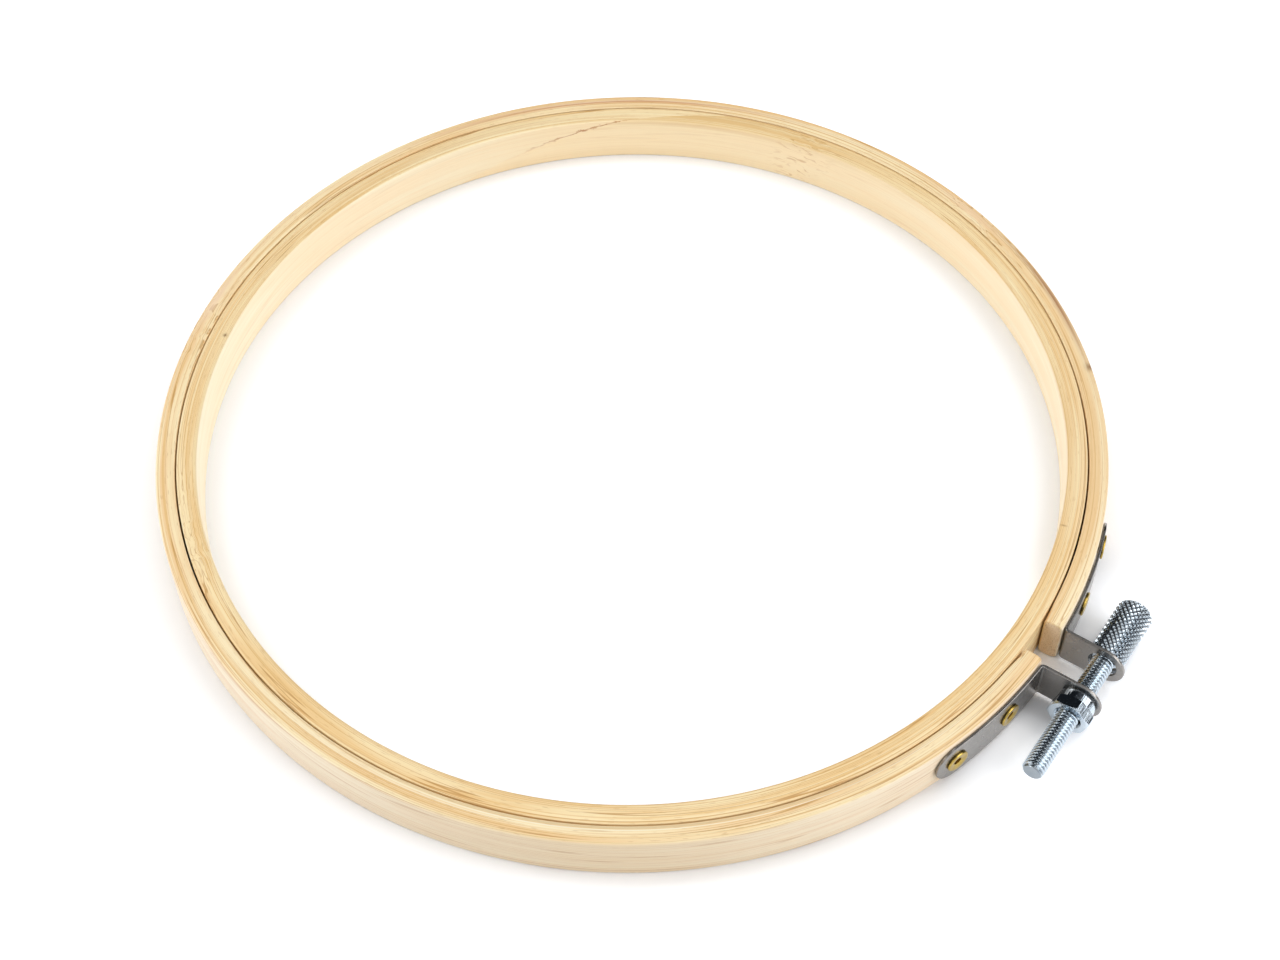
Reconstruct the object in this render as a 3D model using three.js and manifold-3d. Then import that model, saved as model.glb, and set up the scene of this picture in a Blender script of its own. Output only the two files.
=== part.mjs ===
// Embroidery hoop: a closed bamboo ring inside a split bamboo ring that a thumb screw draws together.
// Millimetres, +Z up. The hoop lies flat on z = 0, with its hardware towards -Y and the screw along X.
// The origin is the middle of the whole object's footprint, on the surface that it lies on.

import * as THREE from 'three';
import { mergeVertices } from 'three/addons/utils/BufferGeometryUtils.js';
import Module from 'manifold-3d';

const wasm = await Module();
wasm.setup();

// Bamboo rings
const outerRingRadius = 87.5;
const outerStripThickness = 3.55;
const innerStripThickness = 3.8;
const stripHeight = 9.8;
const clothGap = 0.3; // between the two rings, where the cloth is gripped
const topEdgeRadius = 0.6;
const bottomEdgeRadius = 0.7;
const splitToNutSideEnd = 3.4; // from the middle of the split to the outer strip's end
const splitToHeadSideEnd = 3.6;

// Brackets, bent from steel strip
const sheetThickness = 0.55;
const bracketWidth = 8.2;
const bendInsideRadius = 0.4;
const earSpacing = 8; // between the two ears' facing sides
const screwOutsideRing = 8; // from the outer ring's face to the screw's axis
const screwHoleClearance = 0.7; // all round the shank, in each ear
const seatGap = 0.3; // between a piece and what it seats on

// Tubular rivets, rolled over on the outside
const rivetShankDiameter = 2.6;
const rivetBoreDiameter = 1.5;
const rivetBoreDepth = 1.9;
const rivetRimDiameter = 4.4;
const rivetRimHeight = 0.65;
const rivetHeadDiameter = 4.2;
const rivetHeadThickness = 0.6;
const rivetClearance = 0.25; // all round the shank and the inner head
const rivetHeadSunk = 0.15; // below the outer ring's inner face
const rivetsPerBracket = 2;
const firstRivetFromEar = 9.2;
const rivetSpacing = 13.1;
const leafBeyondLastRivet = 4.4;

// Thumb screw with a diamond-knurled head
const shankDiameter = 4;
const shankLength = 26.4;
const tipChamfer = 0.4;
const knurlHeadDiameter = 6.7;
const knurlHeadLength = 12.6;
const knurlHeadChamfer = 0.7;
const knurlsRound = 20;
const knurlDepth = 0.3;
const knurlStretch = 1.05; // a diamond's length along the axis over its width round the head

// Nut: a hexagon in front of a round collar
const nutAcrossFlats = 7;
const nutHexagonLength = 2.2;
const nutCollarDiameter = 6.8;
const nutCollarLength = 1.8;
const nutEdgeBreak = 0.3;
const nutBoreClearance = 0.2; // all round the shank
const nutTurnDegrees = 12; // how the hexagon happens to stand

// Fineness of the facets
const ringFacets = 144;
const smallFacets = 20;
const holeFacets = 24;
const quarterSteps = 2;
const leafSteps = 9;
const bendSteps = 5;
const roundEndSteps = 12;
const cutterExcess = 3; // how far a cutter runs past what it cuts
const weldDistance = 1e-4; // corners this close are joined into one

// Places that follow from the sizes above
const middleHeight = stripHeight / 2;
const outerRingBore = outerRingRadius - outerStripThickness;
const innerRingRadius = outerRingBore - clothGap;
const innerRingBore = innerRingRadius - innerStripThickness;
const leafInsideRadius = outerRingRadius + seatGap;
const leafOutsideRadius = leafInsideRadius + sheetThickness;
const screwAxisRadius = outerRingRadius + screwOutsideRing;
const earNear = earSpacing / 2;
const earFar = earNear + sheetThickness;
const earReach = screwAxisRadius + bracketWidth / 2;
const ringCentreY = (earReach - outerRingRadius) / 2;
const screwSeat = earFar + seatGap; // under the knurled head, and under the nut on the other side

const bamboo = { color: 0xf0d8a8, roughness: 0.55, metalness: 0 };
const steel = { color: 0x8c8b8d, roughness: 0.38, metalness: 1 };
const brass = { color: 0xc9a94f, roughness: 0.3, metalness: 1 };
const zinc = { color: 0xc6d2dc, roughness: 0.22, metalness: 1 };

const hoop = new THREE.Group();
hoop.name = 'embroidery_hoop';
hoop.position.y = ringCentreY;

function addPiece(name, geometry, finish) {
  const piece = new THREE.Mesh(geometry, new THREE.MeshStandardMaterial(finish));
  piece.name = name;
  hoop.add(piece);
  return piece;
}

// Joins and cuts
function solidFrom(geometry) {
  const bare = geometry.clone();
  bare.deleteAttribute('normal');
  bare.deleteAttribute('uv');
  const merged = mergeVertices(bare, weldDistance);
  const vertProperties = Float32Array.from(merged.attributes.position.array);
  const triVerts = Uint32Array.from(merged.index.array);
  return new wasm.Manifold(new wasm.Mesh({ numProp: 3, vertProperties, triVerts }));
}

function geometryFrom(solid) {
  const mesh = solid.getMesh();
  const geometry = new THREE.BufferGeometry();
  geometry.setAttribute('position', new THREE.BufferAttribute(mesh.vertProperties, 3));
  geometry.setIndex(new THREE.BufferAttribute(mesh.triVerts, 1));
  geometry.computeVertexNormals();
  return geometry;
}

// Outlines
function arcPoints(centreX, centreY, radius, startAngle, endAngle, steps) {
  const points = [];
  for (let step = 0; step <= steps; step += 1) {
    const angle = startAngle + ((endAngle - startAngle) * step) / steps;
    const x = centreX + radius * Math.cos(angle);
    const y = centreY + radius * Math.sin(angle);
    points.push(new THREE.Vector2(x, y));
  }
  return points;
}

function quarterRound(centreX, centreY, radius, startAngle) {
  return arcPoints(centreX, centreY, radius, startAngle, startAngle + Math.PI / 2, quarterSteps);
}

// Both bamboo rings are a flat strip with eased edges, bent into a circle
function bambooRing(bore, outside) {
  const top = stripHeight - topEdgeRadius;
  const section = [
    ...quarterRound(outside - bottomEdgeRadius, bottomEdgeRadius, bottomEdgeRadius, -Math.PI / 2),
    ...quarterRound(outside - topEdgeRadius, top, topEdgeRadius, 0),
    ...quarterRound(bore + topEdgeRadius, top, topEdgeRadius, Math.PI / 2),
    ...quarterRound(bore + bottomEdgeRadius, bottomEdgeRadius, bottomEdgeRadius, Math.PI),
  ];
  section.push(section[0].clone());
  return new THREE.LatheGeometry(section, ringFacets).rotateX(Math.PI / 2);
}

// A direction out of the ring, counted from the split: side is 1 towards the head, -1 towards the nut
function outward(side, angle) {
  return new THREE.Vector3(side * Math.sin(angle), -Math.cos(angle), 0);
}

function turnedOutward(side, angle) {
  const turn = new THREE.Quaternion();
  return turn.setFromUnitVectors(new THREE.Vector3(0, 1, 0), outward(side, angle));
}

function rivetAngle(number) {
  return (earFar + firstRivetFromEar + number * rivetSpacing) / leafOutsideRadius;
}

// The outer ring is cut through at the split, and bored and recessed for each rivet
function outerRing() {
  let ring = solidFrom(bambooRing(outerRingBore, outerRingRadius));
  const width = splitToNutSideEnd + splitToHeadSideEnd;
  const depth = outerStripThickness + 2 * cutterExcess;
  const split = new THREE.BoxGeometry(width, depth, stripHeight + 2 * cutterExcess);
  const middleX = (splitToHeadSideEnd - splitToNutSideEnd) / 2;
  split.translate(middleX, -(outerRingBore + outerStripThickness / 2), middleHeight);
  ring = ring.subtract(solidFrom(split));
  for (const side of [-1, 1]) {
    for (let number = 0; number < rivetsPerBracket; number += 1) {
      ring = ring.subtract(rivetHole(side, rivetAngle(number)));
    }
  }
  return geometryFrom(ring);
}

function rivetHole(side, angle) {
  const headHole = rivetHeadDiameter / 2 + rivetClearance;
  const shankHole = rivetShankDiameter / 2 + rivetClearance;
  const floor = outerRingBore + rivetHeadSunk + rivetHeadThickness + seatGap;
  const profile = [
    new THREE.Vector2(0, outerRingBore - cutterExcess),
    new THREE.Vector2(headHole, outerRingBore - cutterExcess),
    new THREE.Vector2(headHole, floor),
    new THREE.Vector2(shankHole, floor),
    new THREE.Vector2(shankHole, leafOutsideRadius + cutterExcess),
    new THREE.Vector2(0, leafOutsideRadius + cutterExcess),
  ];
  const cutter = new THREE.LatheGeometry(profile, smallFacets);
  cutter.applyQuaternion(turnedOutward(side, angle));
  cutter.translate(0, 0, middleHeight);
  return solidFrom(cutter);
}

// A rivet's flat head sits inside the outer ring, and its tube is rolled over on the bracket
function rivet() {
  const headBottom = outerRingBore + rivetHeadSunk;
  const headTop = headBottom + rivetHeadThickness;
  const rimBottom = leafOutsideRadius + seatGap;
  const rimTop = leafOutsideRadius + rivetRimHeight;
  const roll = (rimTop - rimBottom) / 2;
  const rimRadius = rivetRimDiameter / 2;
  const shankRadius = rivetShankDiameter / 2;
  const boreRadius = rivetBoreDiameter / 2;
  const profile = [
    new THREE.Vector2(0, headBottom),
    new THREE.Vector2(rivetHeadDiameter / 2, headBottom),
    new THREE.Vector2(rivetHeadDiameter / 2, headTop),
    new THREE.Vector2(shankRadius, headTop),
    new THREE.Vector2(shankRadius, rimBottom),
    ...arcPoints(rimRadius - roll, rimBottom + roll, roll, -Math.PI / 2, Math.PI / 2, 2 * quarterSteps),
    ...arcPoints(boreRadius + roll, rimTop - roll, roll, Math.PI / 2, Math.PI, quarterSteps),
    new THREE.Vector2(boreRadius, rimTop - rivetBoreDepth),
    new THREE.Vector2(0, rimTop - rivetBoreDepth),
  ];
  return new THREE.LatheGeometry(profile, smallFacets);
}

// A bracket in plan: a leaf along the ring, a bend, and an ear that stands straight out
function bracketPlan(side, leafEndAngle) {
  const bendX = earFar + bendInsideRadius;
  const bendDistance = leafOutsideRadius + bendInsideRadius;
  const bendY = -Math.sqrt(bendDistance ** 2 - bendX ** 2);
  const bendAngle = Math.atan2(bendX, -bendY);
  const toRing = Math.PI / 2 + bendAngle;
  const alongRing = (radius, from, to) =>
    arcPoints(0, 0, radius, from - Math.PI / 2, to - Math.PI / 2, leafSteps);
  const outline = [
    ...alongRing(leafInsideRadius, leafEndAngle, bendAngle),
    ...arcPoints(bendX, bendY, bendInsideRadius + sheetThickness, toRing, Math.PI, bendSteps).slice(1),
    new THREE.Vector2(earNear, -earReach - cutterExcess),
    new THREE.Vector2(earFar, -earReach - cutterExcess),
    ...arcPoints(bendX, bendY, bendInsideRadius, Math.PI, toRing, bendSteps),
    ...alongRing(leafOutsideRadius, bendAngle, leafEndAngle).slice(1),
  ];
  return new THREE.Shape(outline.map((point) => new THREE.Vector2(side * point.x, point.y)));
}

// A long tongue as wide as the bracket, rounded at its end, that the bent strip is trimmed by
function roundedTongue(endCentre, along) {
  const half = bracketWidth / 2;
  const long = 2 * earReach;
  const outline = new THREE.Shape([
    new THREE.Vector2(-long, -half),
    ...arcPoints(0, 0, half, -Math.PI / 2, Math.PI / 2, roundEndSteps),
    new THREE.Vector2(-long, half),
  ]);
  const tongue = new THREE.ExtrudeGeometry(outline, { depth: long, bevelEnabled: false });
  const up = new THREE.Vector3(0, 0, 1);
  const across = new THREE.Vector3().crossVectors(along, up);
  tongue.translate(0, 0, -long / 2);
  tongue.applyMatrix4(new THREE.Matrix4().makeBasis(along, up, across));
  tongue.translate(endCentre.x, endCentre.y, middleHeight);
  return solidFrom(tongue);
}

function bracket(side) {
  const lastRivet = rivetAngle(rivetsPerBracket - 1);
  const half = bracketWidth / 2;
  const endCentreAngle = lastRivet + (leafBeyondLastRivet - half) / leafOutsideRadius;
  const planEndAngle = endCentreAngle + (half + cutterExcess) / leafOutsideRadius;
  const plan = bracketPlan(side, planEndAngle);
  const strip = new THREE.ExtrudeGeometry(plan, { depth: bracketWidth, bevelEnabled: false });
  strip.translate(0, 0, middleHeight - half);

  const endCentre = outward(side, endCentreAngle).multiplyScalar(leafOutsideRadius);
  const alongLeaf = new THREE.Vector3(side * Math.cos(endCentreAngle), Math.sin(endCentreAngle), 0);
  const screwPlace = new THREE.Vector3(0, -screwAxisRadius, 0);
  let solid = solidFrom(strip).intersect(roundedTongue(endCentre, alongLeaf));
  solid = solid.intersect(roundedTongue(screwPlace, new THREE.Vector3(0, -1, 0)));

  const holeRadius = shankDiameter / 2 + screwHoleClearance;
  const screwHole = new THREE.CylinderGeometry(holeRadius, holeRadius, 2 * earReach, holeFacets);
  screwHole.rotateZ(Math.PI / 2);
  screwHole.translate(0, -screwAxisRadius, middleHeight);
  solid = solid.subtract(solidFrom(screwHole));
  for (let number = 0; number < rivetsPerBracket; number += 1) {
    solid = solid.subtract(rivetHole(side, rivetAngle(number)));
  }
  return geometryFrom(solid);
}

// The screw is lofted through rings of points along X, with a peak and a valley of the knurl by turns
function thumbScrew() {
  const around = 2 * knurlsRound;
  const shankRadius = shankDiameter / 2;
  const headRadius = knurlHeadDiameter / 2;
  const rootRadius = headRadius - knurlDepth;
  const tip = screwSeat - shankLength;
  const headEnd = screwSeat + knurlHeadLength;
  const knurlStart = screwSeat + knurlDepth;
  const knurlEnd = headEnd - knurlHeadChamfer;
  const halfDiamond = (knurlStretch * 2 * Math.PI * headRadius) / around;
  const knurlRows = Math.round((knurlEnd - knurlStart) / (2 * halfDiamond)) * 2;
  const plain = (x, radius) => ({ x, peak: radius, valley: radius });

  const rows = [
    plain(tip, shankRadius - tipChamfer),
    plain(tip + tipChamfer, shankRadius),
    plain(screwSeat, shankRadius),
    plain(screwSeat, rootRadius - knurlDepth),
    plain(knurlStart, rootRadius),
  ];
  for (let row = 1; row < knurlRows; row += 1) {
    const x = knurlStart + ((knurlEnd - knurlStart) * row) / knurlRows;
    rows.push({ x, peak: headRadius, valley: rootRadius });
  }
  rows.push(plain(knurlEnd, rootRadius));
  rows.push(plain(headEnd, headRadius - knurlHeadChamfer));

  const points = [tip, 0, 0];
  rows.forEach((row, rowNumber) => {
    for (let place = 0; place < around; place += 1) {
      const angle = (2 * Math.PI * place) / around;
      const radius = (place + rowNumber) % 2 ? row.peak : row.valley;
      points.push(row.x, radius * Math.cos(angle), radius * Math.sin(angle));
    }
  });
  points.push(headEnd, 0, 0);

  const last = rows.length - 1;
  const at = (row, place) => 1 + row * around + (place % around);
  const faces = [];
  for (let place = 0; place < around; place += 1) {
    faces.push(0, at(0, place + 1), at(0, place));
    faces.push(1 + rows.length * around, at(last, place), at(last, place + 1));
    for (let row = 0; row < last; row += 1) {
      const corners = [at(row, place), at(row, place + 1), at(row + 1, place + 1), at(row + 1, place)];
      const firstValley = (place + row) % 2; // each cell is folded along its valley
      const [a, b, c, d] = [0, 1, 2, 3].map((number) => corners[(number + firstValley) % 4]);
      faces.push(a, b, c, a, c, d);
    }
  }
  const geometry = new THREE.BufferGeometry();
  geometry.setAttribute('position', new THREE.Float32BufferAttribute(points, 3));
  geometry.setIndex(faces);
  geometry.computeVertexNormals();
  return geometry;
}

// The nut's outline is turned, then its front is milled to a hexagon and it is bored for the screw
function nut() {
  const length = nutCollarLength + nutHexagonLength;
  const collarRadius = nutCollarDiameter / 2;
  const cornerRadius = nutAcrossFlats / Math.sqrt(3);
  const frontRadius = nutAcrossFlats / 2;
  const chamferLength = (cornerRadius - frontRadius) * Math.tan(Math.PI / 6);
  const turned = new THREE.LatheGeometry([
    new THREE.Vector2(0, 0),
    new THREE.Vector2(collarRadius - nutEdgeBreak, 0),
    new THREE.Vector2(collarRadius, nutEdgeBreak),
    new THREE.Vector2(collarRadius, nutCollarLength),
    new THREE.Vector2(frontRadius, nutCollarLength),
    new THREE.Vector2(cornerRadius, nutCollarLength + chamferLength),
    new THREE.Vector2(cornerRadius, length - chamferLength),
    new THREE.Vector2(frontRadius, length),
    new THREE.Vector2(0, length),
  ], 2 * holeFacets);
  const hexagon = new THREE.CylinderGeometry(cornerRadius, cornerRadius, 2 * length, 6);
  const boreRadius = shankDiameter / 2 + nutBoreClearance;
  const bore = new THREE.LatheGeometry([
    new THREE.Vector2(0, -cutterExcess),
    new THREE.Vector2(boreRadius, -cutterExcess),
    new THREE.Vector2(boreRadius, length - nutEdgeBreak),
    new THREE.Vector2(boreRadius + 2 * nutEdgeBreak, length + nutEdgeBreak),
    new THREE.Vector2(0, length + nutEdgeBreak),
  ], holeFacets);
  return geometryFrom(solidFrom(turned).intersect(solidFrom(hexagon)).subtract(solidFrom(bore)));
}

// The pieces, each placed where it works
addPiece('outer_ring', outerRing(), bamboo);
addPiece('inner_ring', bambooRing(innerRingBore, innerRingRadius), bamboo);

const sides = [
  { name: 'nut_side', side: -1 },
  { name: 'head_side', side: 1 },
];
for (const { name, side } of sides) {
  addPiece(`${name}_bracket`, bracket(side), steel);
  for (let number = 0; number < rivetsPerBracket; number += 1) {
    const piece = addPiece(`${name}_rivet_${number + 1}`, rivet(), brass);
    piece.quaternion.copy(turnedOutward(side, rivetAngle(number)));
    piece.position.z = middleHeight;
  }
}

const screw = addPiece('thumb_screw', thumbScrew(), zinc);
screw.position.set(0, -screwAxisRadius, middleHeight);

const screwNut = addPiece('nut', nut(), zinc);
screwNut.rotation.set(THREE.MathUtils.degToRad(nutTurnDegrees), 0, Math.PI / 2);
screwNut.position.set(-screwSeat, -screwAxisRadius, middleHeight);

export default hoop;
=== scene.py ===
"""Embroidery hoop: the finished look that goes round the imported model.

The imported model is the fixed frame. Each operator below makes one piece, or a group of like pieces.
"""

import math
from contextlib import contextmanager
from functools import partial

import bmesh
import bpy
from mathutils import Matrix, Vector


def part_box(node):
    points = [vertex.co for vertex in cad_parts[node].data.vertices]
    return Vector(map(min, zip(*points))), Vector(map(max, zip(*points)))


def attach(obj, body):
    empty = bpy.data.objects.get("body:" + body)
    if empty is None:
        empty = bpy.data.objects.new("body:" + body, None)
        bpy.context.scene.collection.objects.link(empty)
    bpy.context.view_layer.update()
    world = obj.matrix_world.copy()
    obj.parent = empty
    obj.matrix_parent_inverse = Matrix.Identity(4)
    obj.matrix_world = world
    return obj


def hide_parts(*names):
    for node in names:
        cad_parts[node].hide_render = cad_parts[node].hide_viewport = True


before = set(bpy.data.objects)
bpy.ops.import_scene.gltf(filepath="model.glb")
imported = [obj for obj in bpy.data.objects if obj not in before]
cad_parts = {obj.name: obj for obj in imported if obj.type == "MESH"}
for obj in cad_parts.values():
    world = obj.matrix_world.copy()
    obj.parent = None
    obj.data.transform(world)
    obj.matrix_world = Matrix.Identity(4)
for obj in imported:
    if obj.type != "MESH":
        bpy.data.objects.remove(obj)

bl_info = {
    "name": "Embroidery hoop",
    "version": (1, 0, 0),
    "blender": (4, 5, 0),
    "location": "View3D > Sidebar > Hoop",
    "description": "Makes the finished pieces of an embroidery hoop round its packed model",
    "category": "Object",
}

MM = 0.001
INNER_LOW, INNER_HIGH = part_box("inner_ring")
OUTER_LOW, OUTER_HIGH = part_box("outer_ring")
SCREW_LOW, SCREW_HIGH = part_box("thumb_screw")
NUT_LOW, NUT_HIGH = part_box("nut")
BRACKET_LOW, BRACKET_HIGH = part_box("head_side_bracket")

INNER_OUTSIDE = (INNER_HIGH.x - INNER_LOW.x) / 2
OUTER_OUTSIDE = (OUTER_HIGH.x - OUTER_LOW.x) / 2
STRIP_HEIGHT = INNER_HIGH.z
MIDDLE_HEIGHT = STRIP_HEIGHT / 2
RING_CENTRE = Vector((0, (INNER_LOW.y + INNER_HIGH.y) / 2, MIDDLE_HEIGHT))
SCREW_AXIS = Vector((0, (SCREW_LOW.y + SCREW_HIGH.y) / 2, MIDDLE_HEIGHT))
HEAD_RADIUS = (SCREW_HIGH.z - SCREW_LOW.z) / 2
SIDES = {"nut_side": -1, "head_side": 1}


# Colours and nodes

VECTOR = "ShaderNodeVectorMath"
COMBINE = "ShaderNodeCombineXYZ"
SEPARATE = "ShaderNodeSeparateXYZ"
NOISE = "ShaderNodeTexNoise"
BUMP = "ShaderNodeBump"
# Map Range gives 0 below its first number, 1 above its second, and a smooth step between them
RANGE = "ShaderNodeMapRange"
SMOOTH = {"interpolation_type": "SMOOTHSTEP"}


def linear(hex_colour):
    """Turn an sRGB hex colour into the linear numbers that a shader works in."""
    parts = [int(hex_colour[i : i + 2], 16) / 255 for i in (1, 3, 5)]
    return (*(c / 12.92 if c <= 0.04045 else ((c + 0.055) / 1.055) ** 2.4 for c in parts), 1.0)


def add_node(tree, kind, *inputs, out=0, **settings):
    """Add a node, set its properties, fill or link its inputs, and give back an output.

    A kind in capitals is an operation of the Math node. The inputs come in the node's own order, or
    as one dictionary by name or number. With out=None all the outputs come back.
    """
    if kind.isupper():
        kind, settings["operation"] = "ShaderNodeMath", kind
    node = tree.nodes.new(kind)
    for name, value in settings.items():
        setattr(node, name, value)
    by_key = inputs[0] if inputs and isinstance(inputs[0], dict) else dict(enumerate(inputs))
    for key, value in by_key.items():
        if isinstance(value, bpy.types.NodeSocket):
            tree.links.new(value, node.inputs[key])
        else:
            node.inputs[key].default_value = value
    return node.outputs if out is None or not node.outputs else node.outputs[out]


def new_material(name):
    """An empty material, and the function that adds a node to it."""
    material = bpy.data.materials.new(name)
    material.use_nodes = True
    material.node_tree.nodes.clear()
    return material, partial(add_node, material.node_tree)


def close_material(material, add, sockets):
    """Give a material its principled shader with these sockets, and its output."""
    shader = add("ShaderNodeBsdfPrincipled", sockets)
    add("ShaderNodeOutputMaterial", {"Surface": shader})
    return material


def layered(add, colour, layers):
    """A colour with tints laid over it in order, each by its own share."""
    for share, tint in layers:
        # A Mix node takes its two colours as inputs 6 and 7, and gives theirs as output 2
        mixed = {"Factor": share, 6: colour, 7: tint}
        colour = add("ShaderNodeMix", mixed, out=2, data_type="RGBA")
    return colour


def speckles(add, to_a_mm, detail, roughness=0.5):
    """Noise alike in every direction, with so many spots to a millimetre."""
    place = add("ShaderNodeTexCoord", out="Object")
    scale = to_a_mm / MM
    return add(NOISE, {"Vector": place, "Scale": scale, "Detail": detail, "Roughness": roughness})


def streaks(add, place, along, across, detail=2.0, roughness=0.5, distortion=0.0):
    """Noise drawn out one way, with so many streaks to a millimetre along it and across it."""
    scaled = add(VECTOR, place, (along / MM, across / MM, across / MM), operation="MULTIPLY")
    even = {"Vector": scaled, "Scale": 1.0, "Detail": detail}
    return add(NOISE, {**even, "Roughness": roughness, "Distortion": distortion})


def near(add, value, place, reach):
    """1 at a place, falling smoothly to 0 away from it."""
    offset = add("DIVIDE", add("SUBTRACT", value, place), reach)
    return add("EXPONENT", add("MULTIPLY", add("MULTIPLY", offset, offset), -1.0))


# Bamboo


def strip_place(add, look):
    """Where a point lay on the strip before it was bent: along it, its depth and its height.

    The joint is a long scarf, slanting along the ring over the height and through the depth. The
    last number given back is the way from it.
    """
    place = add("ShaderNodeTexCoord", out="Object")
    centred = add(VECTOR, place, (0, RING_CENTRE.y, 0), operation="SUBTRACT")
    angle = -math.radians(look["joint_degrees"])
    turned = add("ShaderNodeVectorRotate", {"Vector": centred, "Angle": angle}, rotation_type="Z_AXIS")
    x, y, height = add(SEPARATE, turned, out=None)
    angle = add("ARCTAN2", y, x)
    radius = add("SQRT", add("MULTIPLY_ADD", y, y, add("MULTIPLY", x, x)))
    slant = -math.radians(look["slant_per_mm"]) / MM
    through = math.radians(look["through_per_mm"]) / MM
    joint = add("MULTIPLY_ADD", height, slant, -slant * STRIP_HEIGHT)
    joint = add("MULTIPLY_ADD", add("SUBTRACT", radius, look["bore"]), through, joint)
    whole = add("MULTIPLY_ADD", add("LESS_THAN", angle, joint), 2 * math.pi, angle)
    along = add("MULTIPLY", whole, look["middle"])
    return along, radius, height, add("MULTIPLY", add("SUBTRACT", angle, joint), look["middle"])


def glue_line(add, place, radius, height, from_joint, look):
    """The thin broken line of glue along the scarf joint, which shows on the inner wall."""
    wander = add("SUBTRACT", streaks(add, place, 0.5, 0.9, 3, 0.7), 0.5)
    off = add("ABSOLUTE", add("MULTIPLY_ADD", wander, 6 * MM, from_joint))
    line = add("SUBTRACT", 1.0, add(RANGE, off, 0.4 * MM, 1.3 * MM, **SMOOTH))
    broken = add(RANGE, streaks(add, place, 0.26, 0.9, 1), 0.4, 0.54, **SMOOTH)
    fade = add(RANGE, height, 2.5 * MM, 8.5 * MM, **SMOOTH)
    bore = look["bore"]
    wall = add("SUBTRACT", 1.0, add(RANGE, radius, bore + 0.3 * MM, bore + 0.7 * MM, **SMOOTH))
    shown = add("MULTIPLY", add("MULTIPLY", line, broken), add("MULTIPLY", fade, wall))
    return add("MULTIPLY", shown, look["glue_share"])


def fibre_push(add, growth_nodes, spot, even_place):
    """How far the fibres are pushed aside, and how marked the wood is, at its growth nodes.

    There the fibres flow round pale patches, and waver over a few millimetres. Each growth node has
    its bearing, its reach, how far the fibres flow and its share of marks.
    """
    knots, flows, marked = 0.0, 0.0, 0.0
    for degrees, reach, flow, mark_share in growth_nodes:
        knot = spot(degrees, reach)
        knots = add("MAXIMUM", knot, knots)
        flows = add("MULTIPLY_ADD", knot, flow * MM, flows)
        marked = add("MULTIPLY_ADD", knot, mark_share, marked)
    bend = add("SUBTRACT", streaks(add, even_place, 0.15, 0.26, 0), 0.5)
    waver = add("SUBTRACT", streaks(add, even_place, 0.26, 0.09, 1), 0.5)
    push = add("MULTIPLY", bend, flows)
    return add("MULTIPLY_ADD", add("MULTIPLY", waver, knots), 1.5 * MM, push), marked


def wall_tints_and_painted_light(add, wall, spot, on_wall, tone):
    """The wall is smoother, and paler than the top partly as painted light, with painted shade drifting
    slowly along it.
    """
    first, second = (linear(tint) for tint in wall["tints"])
    clouds = layered(add, first, [(add(RANGE, tone, 0.4, 0.6, **SMOOTH), second)])
    layers = [(add("MULTIPLY", on_wall, wall["share"]), clouds)]
    for degrees, reach, share, tint in wall["painted_shade_drifts"]:
        painted_shade_drift = add("MULTIPLY", spot(degrees, reach), share)
        layers.append((add("MULTIPLY", painted_shade_drift, on_wall), linear(tint)))
    return layers


def fibre_lines(add, look, place, on_wall, tone):
    """The tints of bundles, hair lines and flecks, with the bundles and the hair lines themselves."""
    lined = add("MULTIPLY_ADD", on_wall, look["wall"]["lines_left"] - 1.0, 1.0)
    haired = add("MULTIPLY_ADD", on_wall, look["wall"]["hairs_left"] - 1.0, 1.0)

    # Bundles of fibre half a millimetre wide and 140 mm long, golden ones and pale ones between them
    bundles = streaks(add, place, 0.007, 2.0, 4, 0.65)
    golden = add("MULTIPLY", add(RANGE, bundles, 0.5, 0.66, **SMOOTH), look["bundle_share"])
    paler = add("SUBTRACT", 1.0, add(RANGE, bundles, 0.34, 0.46, **SMOOTH))
    paler = add("MULTIPLY", paler, 0.6)

    # Hair lines follow the level lines of a smooth noise, so each runs on for many centimetres. They
    # come out 0.03 to 0.1 mm wide, and the widest are the ones that show
    rungs = add("FRACT", add("MULTIPLY", streaks(add, place, 0.005, 0.62, 0.5, 0.4), 12.0))
    level = add("ABSOLUTE", add("SUBTRACT", rungs, 0.5))
    hair = add("SUBTRACT", 1.0, add(RANGE, level, 0.02, 0.11, **SMOOTH))
    hair = add("MULTIPLY", hair, add(RANGE, tone, 0.3, 0.46, **SMOOTH))
    hair = add("MULTIPLY", hair, haired)

    # Flecks of cut vessels, a quarter of a millimetre wide
    flecks = add(RANGE, streaks(add, place, 0.42, 3.8, 1), 0.62, 0.72, **SMOOTH)
    flecks = add("MULTIPLY", flecks, 0.3)
    layers = [
        (add("MULTIPLY", golden, lined), look["bundle"]),
        (add("MULTIPLY", paler, lined), look["light"]),
        (add("MULTIPLY", hair, look["hair_share"]), look["hair"]),
        (add("MULTIPLY", flecks, lined), linear("#BD8A45")),
    ]
    return layers, bundles, hair


def stain_and_edge_light_tints(add, stains_and_edge_light, spot, radius, height, bundles):
    """Stains, painted shade and a painted highlight on the top: each has its bearing, reach along, radius,
    reach across, share and colour.
    """
    on_top = add(RANGE, height, STRIP_HEIGHT - 1.6 * MM, STRIP_HEIGHT - 0.3 * MM, **SMOOTH)
    uneven = add(RANGE, bundles, 0.25, 0.5, **SMOOTH)
    layers = []
    for degrees, reach, at_radius, across, share, tint in stains_and_edge_light:
        stain_and_light = add("MULTIPLY", spot(degrees, reach), near(add, radius, at_radius, across * MM))
        stain_and_light = add("MULTIPLY", add("MULTIPLY", stain_and_light, on_top), uneven)
        layers.append((add("MULTIPLY", stain_and_light, share, use_clamp=True), linear(tint)))
    return layers


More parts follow.
